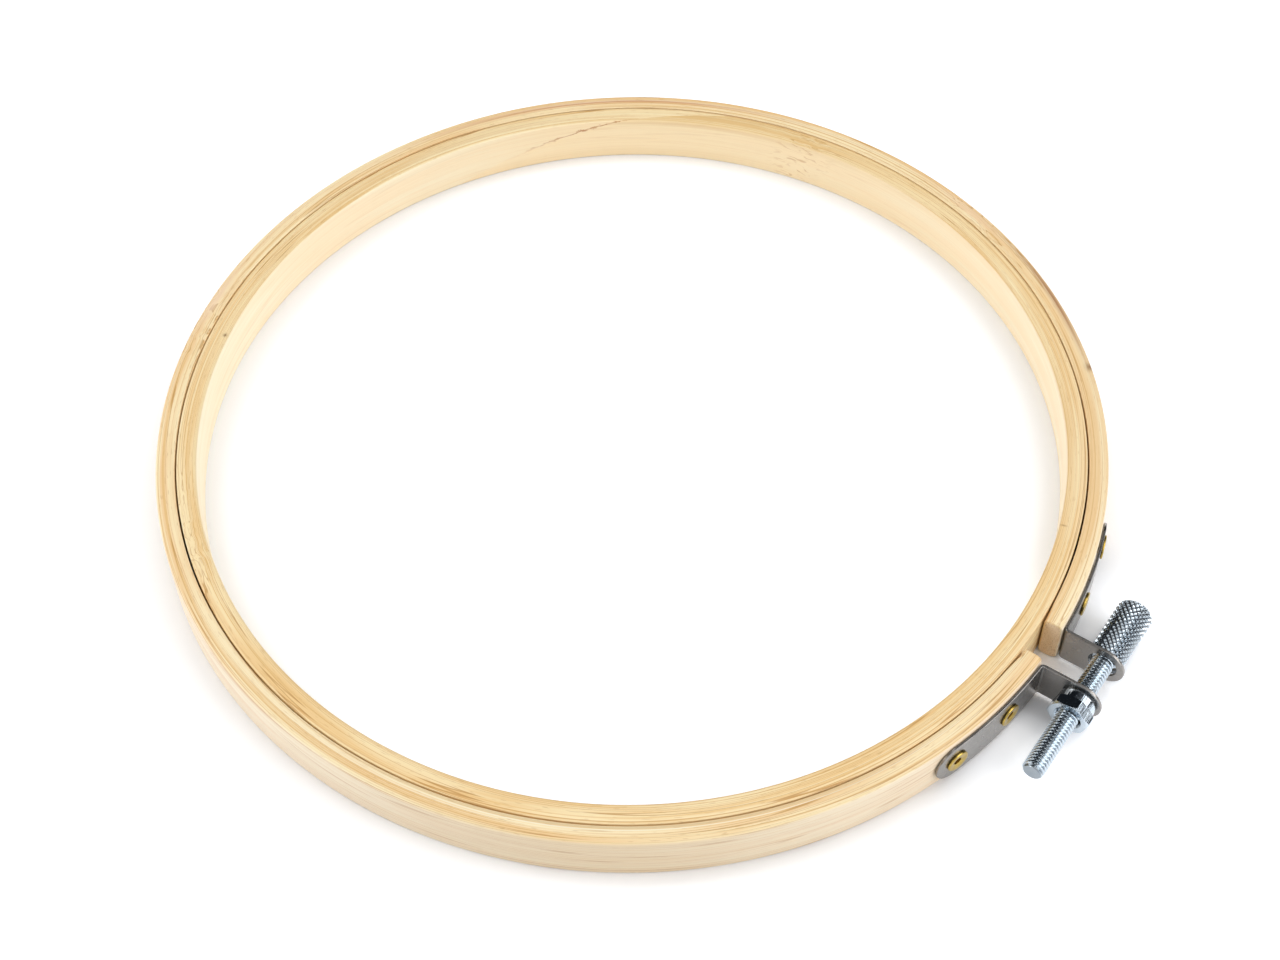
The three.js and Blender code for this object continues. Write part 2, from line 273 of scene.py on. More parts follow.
def bamboo(name, look):
    """Planed and sanded bamboo: pale and satin, with long golden fibre lines and wavy growth nodes."""
    material, add = new_material(name)
    along, radius, height, from_joint = strip_place(add, look)

    def spot(degrees, reach):
        """1 at a bearing on the strip, falling to 0 over so many millimetres along it."""
        bearing = math.radians((degrees - look["joint_degrees"]) % 360)
        return near(add, along, bearing * look["middle"], reach * MM)

    even_place = add(COMBINE, along, radius, height)
    push, marked = fibre_push(add, look["growth_nodes"], spot, even_place)
    place = add(COMBINE, along, add("ADD", radius, push), add("ADD", height, push))

    # Broad clouds of tone, 40 mm long
    tone = streaks(add, place, 0.025, 0.42, 3, 0.55)
    layers = [(add(RANGE, tone, 0.38, 0.64, **SMOOTH), look["tan"])]
    wall = look["wall"]
    on_wall = add(RANGE, radius, wall["from"], wall["to"], **SMOOTH)
    layers += wall_tints_and_painted_light(add, wall, spot, on_wall, tone)
    lines, bundles, hair = fibre_lines(add, look, place, on_wall, tone)

    # Short wavering brown marks at the growth nodes, 0.8 mm wide
    marks = add(RANGE, streaks(add, place, 0.33, 1.25, 1.5, 0.6, 0.6), 0.56, 0.66, **SMOOTH)
    mark = add("MULTIPLY", marks, marked)
    layers += [*lines, (mark, linear("#CB9A5C"))]
    layers += stain_and_edge_light_tints(add, look["stains_and_edge_light"], spot, radius, height, bundles)
    if look["glue_share"]:
        glue = glue_line(add, even_place, radius, height, from_joint, look)
        layers.append((glue, linear("#B8742C")))

    relief = add("MULTIPLY_ADD", hair, -0.6, bundles)
    relief = add("MULTIPLY_ADD", mark, -0.8, relief)
    sockets = {
        "Base Color": layered(add, look["pale"], layers),
        "Roughness": add("MULTIPLY_ADD", bundles, 0.2, 0.3),
        "Normal": add(BUMP, {"Strength": 0.3, "Distance": 0.05 * MM, "Height": relief}),
        "IOR": 1.5,
    }
    return close_material(material, add, sockets)


def bamboo_end_grain():
    """Bamboo sawn across its fibres: pale as painted light, matt and full of pores, drawn 0.2 mm wide so
    that they show.
    """
    material, add = new_material("bamboo_end_grain")
    pores = speckles(add, 5.0, 2.0)
    shown = add("MULTIPLY", add(RANGE, pores, 0.52, 0.66, **SMOOTH), 0.5)
    layers = [(speckles(add, 0.5, 2.0), linear("#F6D7AE")), (shown, linear("#AC8552"))]
    sockets = {
        # Paler than the wood: painted light against the shade that the sawn ends stand in
        "Base Color": layered(add, linear("#FFECD0"), layers),
        "Roughness": 0.75,
        "Normal": add(BUMP, {"Strength": 0.5, "Distance": 0.08 * MM, "Height": pores}),
    }
    return close_material(material, add, sockets)


# Metals


def rolled_steel(colours):
    """Cold-rolled steel sheet, stamped: satin grey and clouded.

    The real grain is too fine to show, and is drawn a quarter of a millimetre wide.
    """
    material, add = new_material("stamped_steel_sheet")
    cloud = speckles(add, 0.26, 3.0)
    grain = speckles(add, 3.8, 2.0, 0.6)
    sockets = {
        "Base Color": layered(add, colours.steel, [(cloud, colours.steel_light)]),
        "Metallic": 1.0,
        "Roughness": add("MULTIPLY_ADD", cloud, 0.14, 0.2),
        "Normal": add(BUMP, {"Strength": 0.2, "Distance": 0.02 * MM, "Height": grain}),
    }
    return close_material(material, add, sockets)


def drawn_brass(colours):
    """Drawn brass tube, rolled over at its end: bright yellow, dulled in patches a millimetre wide."""
    material, add = new_material("drawn_brass")
    cloud = speckles(add, 0.9, 3.0)
    sockets = {
        "Base Color": layered(add, colours.brass, [(cloud, colours.brass_light)]),
        "Metallic": 1.0,
        "Roughness": add("MULTIPLY_ADD", cloud, 0.15, 0.16),
    }
    return close_material(material, add, sockets)


def zinc_plating(name, colours, drawn_lines=0.0, grooves=()):
    """Bright zinc plating: bluish white and shiny, with a faint haze, and painted shade in the grooves."""
    material, add = new_material(name)
    place = add("ShaderNodeTexCoord", out="Object")
    cloud = speckles(add, 0.7, 3.0)
    x, y, z = add(SEPARATE, add(VECTOR, place, SCREW_AXIS, operation="SUBTRACT"), out=None)
    radius = add("SQRT", add("MULTIPLY_ADD", y, y, add("MULTIPLY", z, z)))
    # Down in the thread's and the knurl's grooves the colour is painted dark: painted shade
    sunk = 0.0
    for start, end, crest, depth, share in grooves:
        here = add("MULTIPLY", add("GREATER_THAN", x, start), add("LESS_THAN", x, end))
        low = add("SUBTRACT", 1.0, add(RANGE, radius, crest - depth, crest - depth * 0.3, **SMOOTH))
        sunk = add("ADD", add("MULTIPLY", add("MULTIPLY", low, here), share), sunk)
    layers = [(cloud, colours.zinc_light), (sunk, linear("#2E3338"))]
    sockets = {
        "Base Color": layered(add, colours.zinc, layers),
        "Metallic": 1.0,
        "Roughness": add("MULTIPLY_ADD", sunk, 0.2, add("MULTIPLY_ADD", cloud, 0.08, 0.05)),
    }
    if drawn_lines:
        # Lines along the bar, left from drawing it, 0.3 mm wide so that they show
        drawn = streaks(add, place, 0.09, 3.2, 2, 0.6)
        sockets["Normal"] = add(BUMP, {"Strength": drawn_lines, "Distance": 0.1 * MM, "Height": drawn})
    return close_material(material, add, sockets)


# Geometry Nodes


def new_form(name, sizes):
    """An empty Geometry Nodes tree with named inputs of each type, its add function and its inputs."""
    tree = bpy.data.node_groups.new(name, "GeometryNodeTree")
    for way in ("INPUT", "OUTPUT"):
        tree.interface.new_socket("Geometry", in_out=way, socket_type="NodeSocketGeometry")
    for kind, labels in {**sizes, "Material": ["Material"]}.items():
        for label in labels:
            tree.interface.new_socket(label, in_out="INPUT", socket_type="NodeSocket" + kind)
    add = partial(add_node, tree)
    return tree, add, add("NodeGroupInput", out=None)


def close_form(add, given, geometry):
    """End a tree as every form here ends: real geometry with its material."""
    real = add("GeometryNodeRealizeInstances", geometry)
    dressed = add("GeometryNodeSetMaterial", {"Geometry": real, "Material": given["Material"]})
    add("NodeGroupOutput", dressed)


def new_object(name, data):
    """An object of this data, in the scene."""
    made = bpy.data.objects.new(name, data)
    bpy.context.scene.collection.objects.link(made)
    return made


def run_form(tree, name, sizes, start=None):
    """Run a tree once on a mesh, and keep the result as a plain mesh object."""
    piece = new_object(name, start or bpy.data.meshes.new(name))
    modifier = piece.modifiers.new("Form", "NODES")
    modifier.node_group = tree
    for item in tree.interface.items_tree:
        if item.item_type == "SOCKET" and item.in_out == "INPUT" and item.name in sizes:
            modifier[item.identifier] = sizes[item.name]
    made = evaluated_mesh(piece)
    piece.modifiers.remove(modifier)
    piece.data = made
    made.name = name
    if not made.polygons:
        raise RuntimeError(f"{name} came out empty")
    return piece


def evaluated_mesh(piece):
    """A plain mesh of a piece as its modifiers leave it."""
    depsgraph = bpy.context.evaluated_depsgraph_get()
    return bpy.data.meshes.new_from_object(piece.evaluated_get(depsgraph))


def bent_strip_form():
    """A flat strip with eased edges, bent round in a circle."""
    tree, add, given = new_form(
        "Bent strip",
        {
            "Float": ["Middle radius", "Start", "Sweep", "Thickness", "Height"]
            + ["Inside edge", "Outside edge", "Unevenness"],
            "Int": ["Steps", "Edge steps"],
            "Bool": ["Ends"],
            "Vector": ["Centre"],
        },
    )
    circle = {
        "Resolution": given["Steps"],
        "Radius": given["Middle radius"],
        "Start Angle": given["Start"],
        "Sweep Angle": given["Sweep"],
    }
    path = add("GeometryNodeCurveArc", circle, mode="RADIUS")
    flat = {"Width": given["Thickness"], "Height": given["Height"]}
    section = add("GeometryNodeCurvePrimitiveQuadrilateral", flat, mode="RECTANGLE")
    corner = add(SEPARATE, add("GeometryNodeInputPosition"), out="X")
    sides = {
        "Switch": add("GREATER_THAN", corner, 0.0),
        "False": given["Inside edge"],
        "True": given["Outside edge"],
    }
    easing = add("GeometryNodeSwitch", sides, input_type="FLOAT")
    rounding = {"Curve": section, "Radius": easing, "Count": given["Edge steps"]}
    eased = add("GeometryNodeFilletCurve", rounding, mode="POLY")
    sweep = {"Curve": path, "Profile Curve": eased, "Fill Caps": given["Ends"]}
    strip = add("GeometryNodeCurveToMesh", sweep)
    closed = add("GeometryNodeMergeByDistance", {"Geometry": strip, "Distance": 0.01 * MM})
    # Planed wood is never quite even: its faces dip inwards here and there, every 30 mm or so
    noise = add(NOISE, {"Vector": add("GeometryNodeInputPosition"), "Scale": 30.0, "Detail": 1.0})
    dip = add("MULTIPLY", noise, add("MULTIPLY", given["Unevenness"], -1.0))
    inwards = add(VECTOR, {0: add("GeometryNodeInputNormal"), "Scale": dip}, operation="SCALE")
    planed = add("GeometryNodeSetPosition", {"Geometry": closed, "Offset": inwards})
    placed = add("GeometryNodeTransform", {"Geometry": planed, "Translation": given["Centre"]})
    close_form(add, given, placed)
    return tree


def rivet_row_form():
    """Copies of one rivet, turned round the ring's axis by equal steps."""
    sizes = {"Int": ["Count"], "Float": ["First turn", "Turn step"], "Vector": ["Centre"]}
    tree, add, given = new_form("Rivet row", sizes)
    places = add("GeometryNodePoints", {"Count": given["Count"], "Position": given["Centre"]})
    number = add("GeometryNodeInputIndex")
    turn = add("MULTIPLY_ADD", number, given["Turn step"], given["First turn"])
    facing = add("FunctionNodeEulerToRotation", add(COMBINE, {"Z": turn}))
    rivets = {"Points": places, "Instance": given["Geometry"], "Rotation": facing}
    close_form(add, given, add("GeometryNodeInstanceOnPoints", rivets))
    return tree


def rolled_screw_form():
    """Roll a thread and a diamond knurl into a turned blank that lies along X."""
    tree, add, given = new_form(
        "Rolled screw",
        {
            "Vector": ["Axis"],
            "Float": ["Shank radius", "Thread pitch", "Thread depth", "Head from", "Head radius"]
            + ["Knurls round", "Knurl length", "Knurl depth"],
        },
    )
    place = add(VECTOR, add("GeometryNodeInputPosition"), given["Axis"], operation="SUBTRACT")
    x, y, z = add(SEPARATE, place, out=None)
    turn = add("DIVIDE", add("ARCTAN2", z, y), 2 * math.pi)
    radius = add("SQRT", add("MULTIPLY_ADD", y, y, add("MULTIPLY", z, z)))

    # A right-hand thread with a flat crest of an eighth and a flat root of a quarter of its pitch
    phase = add("FRACT", add("SUBTRACT", add("DIVIDE", x, given["Thread pitch"]), turn))
    ridge = add("ABSOLUTE", add("MULTIPLY_ADD", phase, 2.0, -1.0))
    sunk = add("SUBTRACT", 1.0, add(RANGE, ridge, 0.25, 0.875))
    thread = add("SUBTRACT", given["Shank radius"], add("MULTIPLY", sunk, given["Thread depth"]))

    # Two crossing sets of grooves leave rows of small pyramids, a little blunt
    around = add("MULTIPLY", turn, given["Knurls round"])
    forwards = add("DIVIDE", add("SUBTRACT", x, given["Head from"]), given["Knurl length"])
    slopes = []
    for operation in ("ADD", "SUBTRACT"):
        groove = add("FRACT", add(operation, around, forwards))
        slopes.append(add("ABSOLUTE", add("MULTIPLY_ADD", groove, 2.0, -1.0)))
    peak = add("SUBTRACT", 1.0, add("MAXIMUM", *slopes))
    sunk = add("SUBTRACT", 1.0, add("MINIMUM", add("MULTIPLY", peak, 1.2), 1.0))
    knurl = add("SUBTRACT", given["Head radius"], add("MULTIPLY", sunk, given["Knurl depth"]))

    on_head = add("GREATER_THAN", x, given["Head from"])
    limit = add("MULTIPLY_ADD", add("SUBTRACT", knurl, thread), on_head, thread)
    share = add("DIVIDE", add("MINIMUM", radius, limit), add("MAXIMUM", radius, 0.001 * MM))
    rolled = add(COMBINE, x, add("MULTIPLY", y, share), add("MULTIPLY", z, share))
    back = add(VECTOR, rolled, given["Axis"], operation="ADD")
    shaped = add("GeometryNodeSetPosition", {"Geometry": given["Geometry"], "Position": back})
    close_form(add, given, shaped)
    return tree


# Meshes made point by point


def shade(mesh, sharp_degrees):
    """Shade smooth, apart from edges sharper than this."""
    mesh.shade_smooth()
    mesh.set_sharp_from_angle(angle=math.radians(sharp_degrees))


@contextmanager
def open_mesh(mesh):
    """A mesh opened for editing, and written back at the end."""
    shape = bmesh.new()
    shape.from_mesh(mesh)
    yield shape
    shape.to_mesh(mesh)
    shape.free()
    mesh.update()


def tidy_mesh(mesh):
    """Merge doubles and turn every face outwards."""
    with open_mesh(mesh) as shape:
        bmesh.ops.remove_doubles(shape, verts=shape.verts, dist=0.0005 * MM)
        bmesh.ops.recalc_face_normals(shape, faces=shape.faces)


def round_edges(shape, edges, radius, segments):
    """Round these edges of an opened mesh."""
    bmesh.ops.bevel(
        shape, geom=edges, offset=radius, segments=segments, profile=0.5, affect="EDGES"
    )


def turned_mesh(name, profile, place=(0, 0, 0)):
    """A closed shape turned round X; a row of its profile is x, the radius and the points round."""
    place = Vector(place)
    points, rows, faces = [], [], []
    for x, radius, count in profile:
        if radius == 0:
            rows.append([len(points)] * count)
            points.append(Vector((x, 0, 0)) + place)
            continue
        rows.append(list(range(len(points), len(points) + count)))
        for number in range(count):
            angle = 2 * math.pi * number / count
            points.append(Vector((x, radius * math.cos(angle), radius * math.sin(angle))) + place)
    for low, high in zip(rows, rows[1:]):
        ratio = len(high) // len(low)
        for number in range(len(low)):
            a, b = low[number], low[(number + 1) % len(low)]
            if ratio <= 1:
                corners = (a, b, high[(number + 1) % len(high)], high[number])
                faces.append(list(dict.fromkeys(corners)))
                continue
            # Where the next row has more points, they fan out from this row's two
            fan = [high[(number * ratio + step) % len(high)] for step in range(ratio + 1)]
            half = ratio // 2
            faces.extend((a, fan[step + 1], fan[step]) for step in range(half))
            faces.append((a, b, fan[half]))
            faces.extend((b, fan[step + 1], fan[step]) for step in range(half, ratio))
    mesh = bpy.data.meshes.new(name)
    mesh.from_pydata(points, [], faces)
    tidy_mesh(mesh)
    return mesh


def finish_piece(piece, body, slot_name, *nodes):
    """Put a piece on the body that it rides on, and hide the nodes that it stands for; the slot name is
    not used.
    """
    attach(piece, body)
    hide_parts(*nodes)


# Settings


def in_mm(name, description, millimetres):
    """A setting for a length."""
    default = millimetres * MM
    return bpy.props.FloatProperty(name=name, description=description, default=default, unit="LENGTH")


def in_hex(name, description, hex_colour):
    """A setting for a colour."""
    return bpy.props.FloatVectorProperty(
        name=name,
        description=description,
        default=linear(hex_colour),
        size=4,
        min=0.0,
        max=1.0,
        subtype="COLOR",
    )


def in_watts(name, description, watts):
    """A setting for a lamp's power."""
    return bpy.props.FloatProperty(name=name, description=description, default=watts, unit="POWER")


class HoopStrips(bpy.types.PropertyGroup):
    """Sizes of the two bamboo strips."""

    outer_thickness: in_mm("Outer strip thickness", "Thickness of the split outer strip", 3.6)
    inner_thickness: in_mm("Inner strip thickness", "Thickness of the closed inner strip", 3.8)
    outer_edge: in_mm("Outer strip edge radius", "Rounding along the outer strip's edges", 0.62)
    inner_edge: in_mm("Inner strip edge radius", "Rounding along the inner strip's edges", 0.35)
    gap_edge: in_mm("Gap edge radius", "Rounding along the edges beside the gap between the strips", 0.13)
    end_rounding: in_mm("End rounding", "Rounding of the outer strip's edges at its sanded ends", 1.2)
    end_reach: in_mm("End reach", "How far from each end the outer strip's edges were sanded", 5.0)
    end_bevel: in_mm("End bevel", "Easing round the outer strip's two sawn ends", 0.32)
    split_nut_side: in_mm("Split to nut-side end", "Middle of the split to the end by the nut", 3.4)
    split_head_side: in_mm("Split to head-side end", "Middle of the split to the end by the head", 3.6)
    unevenness: in_mm("Unevenness", "How far the planed faces dip", 0.08)
    steps: bpy.props.IntProperty(name="Steps", description="Facets round each ring", default=540, min=48)


class HoopHardware(bpy.types.PropertyGroup):
    """Sizes of the brackets, rivets, screw and nut."""

    sheet: in_mm("Sheet thickness", "Thickness of the steel", 0.55)
    seat_gap: in_mm("Seat gap", "Room between a leaf and the wood that it seats on", 0.08)
    bend_radius: in_mm("Bend radius", "Inside radius of each bend", 0.4)
    sheet_break: in_mm("Sheet edge break", "Rounding of the stamped edges", 0.12)
    screw_hole: in_mm("Screw hole radius", "Radius of the hole in each ear", 2.7)
    rivet_hole: in_mm("Rivet hole radius", "Radius of each rivet's hole", 1.55)
    first_rivet: in_mm("First rivet", "From an ear to its first rivet", 9.2)
    rivet_spacing: in_mm("Rivet spacing", "Between a bracket's two rivets", 13.1)
    beyond_rivet: in_mm("Beyond last rivet", "From the last rivet to the leaf's end", 4.4)
    rivet_rim: in_mm("Rivet rim radius", "Radius of the rolled rim", 2.2)
    rivet_shank: in_mm("Rivet shank radius", "Radius of the rivet's tube", 1.3)
    rivet_bore: in_mm("Rivet bore radius", "Radius of the tube's bore where it rolls over", 0.75)
    rivet_head: in_mm("Rivet head radius", "Radius of the flat head inside the outer ring", 2.1)
    rivet_depth: in_mm("Rivet depth", "From the leaf's face to the flat head's face", 4.4)
    thread_pitch: in_mm("Thread pitch", "Pitch of the screw's thread", 0.7)
    thread_depth: in_mm("Thread depth", "Depth of the screw's thread", 0.38)
    shank_radius: in_mm("Shank radius", "Radius over the thread", 2.0)
    shank_length: in_mm("Shank length", "From the head to the tip", 26.4)
    tip_chamfer: in_mm("Tip chamfer", "Chamfer at the screw's tip", 0.45)
    head_chamfer: in_mm("Head chamfer", "Chamfer at the head's end", 0.7)
    head_edge: in_mm("Head edge", "Chamfer at the head's edge next to the shank", 0.35)
    knurls: bpy.props.IntProperty(
        name="Knurls round", description="Diamonds round the head", default=20, min=6
    )
    knurl_length: in_mm("Knurl length", "Length of one diamond", 1.1)
    knurl_depth: in_mm("Knurl depth", "Depth of the knurl", 0.34)
    across_flats: in_mm("Across flats", "Width of the nut's hexagon", 7.0)
    collar_radius: in_mm("Collar radius", "Radius of the nut's collar", 3.4)
    collar_length: in_mm("Collar length", "Length of the nut's collar", 1.8)
    nut_turn: bpy.props.FloatProperty(
        name="Nut turn",
        description="How the hexagon happens to stand",
        default=math.radians(12),
        subtype="ANGLE",
    )


class HoopColours(bpy.types.PropertyGroup):
    """Main colours of the wood and the metals."""

    outer_pale: in_hex("Outer strip, pale", "The outer strip's palest wood", "#FBE6BA")
    outer_tan: in_hex("Outer strip, tan", "The darker clouds on the outer strip", "#F2D09C")
    inner_pale: in_hex("Inner strip, pale", "The inner strip's palest wood", "#FBE5B6")
    inner_tan: in_hex("Inner strip, tan", "The darker clouds on the inner strip", "#F1CE94")
    steel: in_hex("Steel", "The sheet's darker clouds", "#8A8683")
    steel_light: in_hex("Steel, light", "The sheet's lighter clouds", "#A3A09C")
    brass: in_hex("Brass", "The rivets where they have dulled", "#A68A3E")
    brass_light: in_hex("Brass, light", "The rivets where they are bright", "#CDB260")
    zinc: in_hex("Zinc", "The plating's bluer haze", "#B4C3D0")
    zinc_light: in_hex("Zinc, light", "The plating's paler haze", "#D4DBE0")


class HoopStage(bpy.types.PropertyGroup):
    """The camera, the floor and the lamps."""

    camera_place: bpy.props.FloatVectorProperty(
        name="Camera place",
        description="Where the camera stands",
        default=(-0.209284, -0.142406, 0.328186),
        subtype="TRANSLATION",
        unit="LENGTH",
    )
    camera_turn: bpy.props.FloatVectorProperty(
        name="Camera turn",
        description="How the camera is turned",
        default=(math.radians(37.3545), math.radians(0.5826), math.radians(-55.7275)),
        subtype="EULER",
    )
    lens: bpy.props.FloatProperty(
        name="Lens",
        description="Focal length on a sensor 36 mm wide",
        default=62.21,
        subtype="DISTANCE_CAMERA",
    )
    fill: bpy.props.FloatProperty(
        name="Fill", description="Strength of the light from all round", default=0.26, min=0.0
    )
    right_back: in_watts("Right back", "Power of the soft lamp behind, on the right", 3.3)
    left_back: in_watts("Left back", "Power of the soft lamp behind, on the left", 2.0)
    right_front: in_watts("Right front", "Power of the soft lamp in front, on the right", 9.2)
    left_front: in_watts("Left front", "Power of the soft lamp in front, on the left", 9.2)
    glow: bpy.props.FloatProperty(
        name="Floor glow",
        description="How much the floor shines to the eye, so that only real shadows show on it",
        default=0.28,
        min=0.0,
    )


# Operators


class HOOP_OT_outer_ring(bpy.types.Operator):
    """Make the split outer ring of bamboo"""

    bl_idname = "hoop.outer_ring"
    bl_label = "Outer ring"

    def execute(self, context):
        strips = context.scene.hoop_strips
        middle = OUTER_OUTSIDE - strips.outer_thickness / 2
        nut_end = math.asin(strips.split_nut_side / middle)
        head_end = math.asin(strips.split_head_side / middle)
        look = self.look(context.scene.hoop_colours, OUTER_OUTSIDE - strips.outer_thickness, middle)
        sizes = {
            "Middle radius": middle,
            "Start": -math.pi / 2 + head_end,
            "Sweep": 2 * math.pi - head_end - nut_end,
            "Steps": strips.steps,
            "Thickness": strips.outer_thickness,
            "Height": STRIP_HEIGHT,
            "Inside edge": strips.gap_edge,
            "Outside edge": strips.outer_edge,
            "Edge steps": 6,
            "Ends": True,
            "Unevenness": strips.unevenness,
            "Centre": RING_CENTRE,
            "Material": bamboo("bamboo_outer_strip", look),
        }
        piece = run_form(bent_strip_form(), "outer_bamboo_strip", sizes)
        self.ease_ends(piece.data, strips, middle)
        finish_piece(piece, "outer_frame", "bamboo", "outer_ring")
        return {"FINISHED"}

    def look(self, colours, gap, middle):
        """How this strip's grain runs; bearings are in degrees from +X, and reaches in millimetres."""
        outside = OUTER_OUTSIDE
        return {
            "joint_degrees": -90.0,
            "slant_per_mm": 0.0,
            "through_per_mm": 0.0,
            "bore": gap,
            "middle": middle,
            "growth_nodes": [(105.2, 9, 1, 0.0), (-20.0, 11, 2, 0.1)],
            "pale": colours.outer_pale,
            "tan": colours.outer_tan,
            "light": linear("#FFF3D2"),
            "bundle": linear("#E3B770"),
            "bundle_share": 0.62,
            "hair": linear("#C08A3E"),
            "hair_share": 0.72,
            "wall": {
                "from": outside - 0.35 * MM,
                "to": outside - 0.12 * MM,
                "share": 0.9,
                "lines_left": 0.3,
                "hairs_left": 0.6,
                # Its tints are paler than the top partly as painted light, and its drift is painted shade
                # where it gets less light
                "tints": ("#FFEFD4", "#FAE4C6"),
                "painted_shade_drifts": [(210.0, 35, 0.8, "#F2DCB7")],
            },
            "stains_and_edge_light": [
                (-36.0, 16, outside - 0.85 * MM, 0.6, 0.9, "#A66F44"),
                (-47.4, 0.9, outside - 0.5 * MM, 0.7, 1.0, "#7A4B2A"),
                (38.0, 33, outside - 1.6 * MM, 0.35, 0.85, "#CC8A62"),
                (-17.0, 8, outside - 1.6 * MM, 0.9, 0.6, "#F3D3B0"),
                (-60.0, 24, outside - 1.8 * MM, 2.4, 0.6, "#E8C28B"),
                (103.0, 7, outside - 1.2 * MM, 0.9, 0.7, "#F7DCBE"),
                # Painted shade on the rounded edge beside the gap, and a painted highlight along it, on
                # the near side
                (215.0, 60, gap + 0.35 * MM, 0.22, 0.6, "#CDB48A"),
                (215.0, 75, gap + 0.8 * MM, 0.09, 0.9, "#FFF6DE"),
                (215.0, 110, outside - 0.5 * MM, 0.1, 0.6, "#E6C886"),
            ],
            "glue_share": 0.0,
        }

    def ease_ends(self, mesh, strips, middle):
        """Sand the two sawn ends, ease the edges round them, and give them their own material."""
        mesh.materials.append(bamboo_end_grain())
        with open_mesh(mesh) as shape:
            # The sawn ends are the only faces with more than four corners
            caps = [face for face in shape.faces if len(face.verts) > 4]
            if len(caps) != 2:
                raise RuntimeError("the outer strip should have two sawn ends")
            for cap in caps:
                cap.material_index = 1
                sawn = cap.calc_center_median()
                for vert in shape.verts:
                    away = (vert.co.xy - sawn.xy).length - strips.outer_thickness / 2
                    share = 1 - max(away, 0) / strips.end_reach
                    if share > 0:
                        self.sand(vert, strips, middle, share**2)
            rims = list({edge for cap in caps for edge in cap.edges})
            round_edges(shape, rims, strips.end_bevel, 3)
            bmesh.ops.recalc_face_normals(shape, faces=shape.faces)
        shade(mesh, 40)

    def sand(self, vert, strips, middle, share):
        """Move one point of the section's corners to where a larger rounding has it."""
        flat = vert.co.xy - RING_CENTRE.xy
        depth, height = flat.length - middle, vert.co.z - MIDDLE_HEIGHT
        first = strips.outer_edge if depth > 0 else strips.gap_edge
        grown = first + (strips.end_rounding - first) * share
        corner = Vector((strips.outer_thickness / 2 - first, STRIP_HEIGHT / 2 - first))
        past = Vector((max(abs(depth) - corner.x, 0), max(abs(height) - corner.y, 0)))
        inwards = (grown - first) * (past.normalized() - Vector((1, 1)))
        flat = flat.normalized() * (middle + math.copysign(abs(depth) + inwards.x, depth))
        up = math.copysign(abs(height) + inwards.y, height)
        vert.co = (flat.x, flat.y + RING_CENTRE.y, MIDDLE_HEIGHT + up)


class HOOP_OT_inner_ring(bpy.types.Operator):
    """Make the closed inner ring of bamboo"""

    bl_idname = "hoop.inner_ring"
    bl_label = "Inner ring"

    def execute(self, context):
        strips = context.scene.hoop_strips
        middle = INNER_OUTSIDE - strips.inner_thickness / 2
        look = self.look(context.scene.hoop_colours, INNER_OUTSIDE - strips.inner_thickness, middle)
        sizes = {
            "Middle radius": middle,
            "Start": 0.0,
            "Sweep": 2 * math.pi,
            "Steps": strips.steps + 1,
            "Thickness": strips.inner_thickness,
            "Height": STRIP_HEIGHT,
            "Inside edge": strips.inner_edge,
            "Outside edge": strips.gap_edge,
            "Edge steps": 4,
            "Ends": False,
            "Unevenness": strips.unevenness,
            "Centre": RING_CENTRE,
            "Material": bamboo("bamboo_inner_strip", look),
        }
        piece = run_form(bent_strip_form(), "inner_bamboo_strip", sizes)
        tidy_mesh(piece.data)
        shade(piece.data, 40)
        finish_piece(piece, "inner_frame", "bamboo", "inner_ring")
        return {"FINISHED"}

    def look(self, colours, bore, middle):
        """How this strip's grain runs; bearings are in degrees from +X, and reaches in millimetres."""
        outside = INNER_OUTSIDE
        return {
            "joint_degrees": 36.6,
            "slant_per_mm": 2.56,
            "through_per_mm": -4.5,
            "bore": bore,
            "middle": middle,
            "growth_nodes": [(141.8, 10, 0, 0.0), (8.7, 5.5, 1, 0.55)],
            "pale": colours.inner_pale,
            "tan": colours.inner_tan,
            "light": linear("#FFF2CC"),
            "bundle": linear("#E2B468"),
            "bundle_share": 0.65,
            "hair": linear("#BC8438"),
            "hair_share": 0.72,
            "wall": {
                "from": bore + 0.35 * MM,
                "to": bore + 0.08 * MM,
                "share": 0.95,
                "lines_left": 0.14,
                "hairs_left": 0.14,
                # Its tints are paler than the top partly as painted light, and its drifts are painted
                # shade where it gets less light
                "tints": ("#FFF0D0", "#FFEAC6"),
                "painted_shade_drifts": [(30.0, 75, 0.8, "#FFE5B7"), (38.0, 32, 0.72, "#FFE5B7")],
            },
            "stains_and_edge_light": [
                (25.0, 22, outside - 1.9 * MM, 2.6, 0.65, "#DDB06A"),
                (108.5, 0.4, bore + 0.9 * MM, 0.35, 1.0, "#8A6234"),
                (-73.2, 0.18, bore + 0.8 * MM, 0.6, 0.75, "#A07040"),
                (215.0, 110, bore + 0.25 * MM, 0.15, 0.6, "#C9A064"),
                (215.0, 90, outside - 0.5 * MM, 0.1, 0.8, "#CC9448"),
                (60.0, 30, outside - 1.8 * MM, 1.0, 0.4, "#DDBE8C"),
                (25.0, 55, outside - 1.9 * MM, 2.6, 0.5, "#E8C68C"),
                (-60.0, 24, outside - 1.9 * MM, 2.6, 0.5, "#E8C28B"),
            ],
            "glue_share": 0.9,
        }


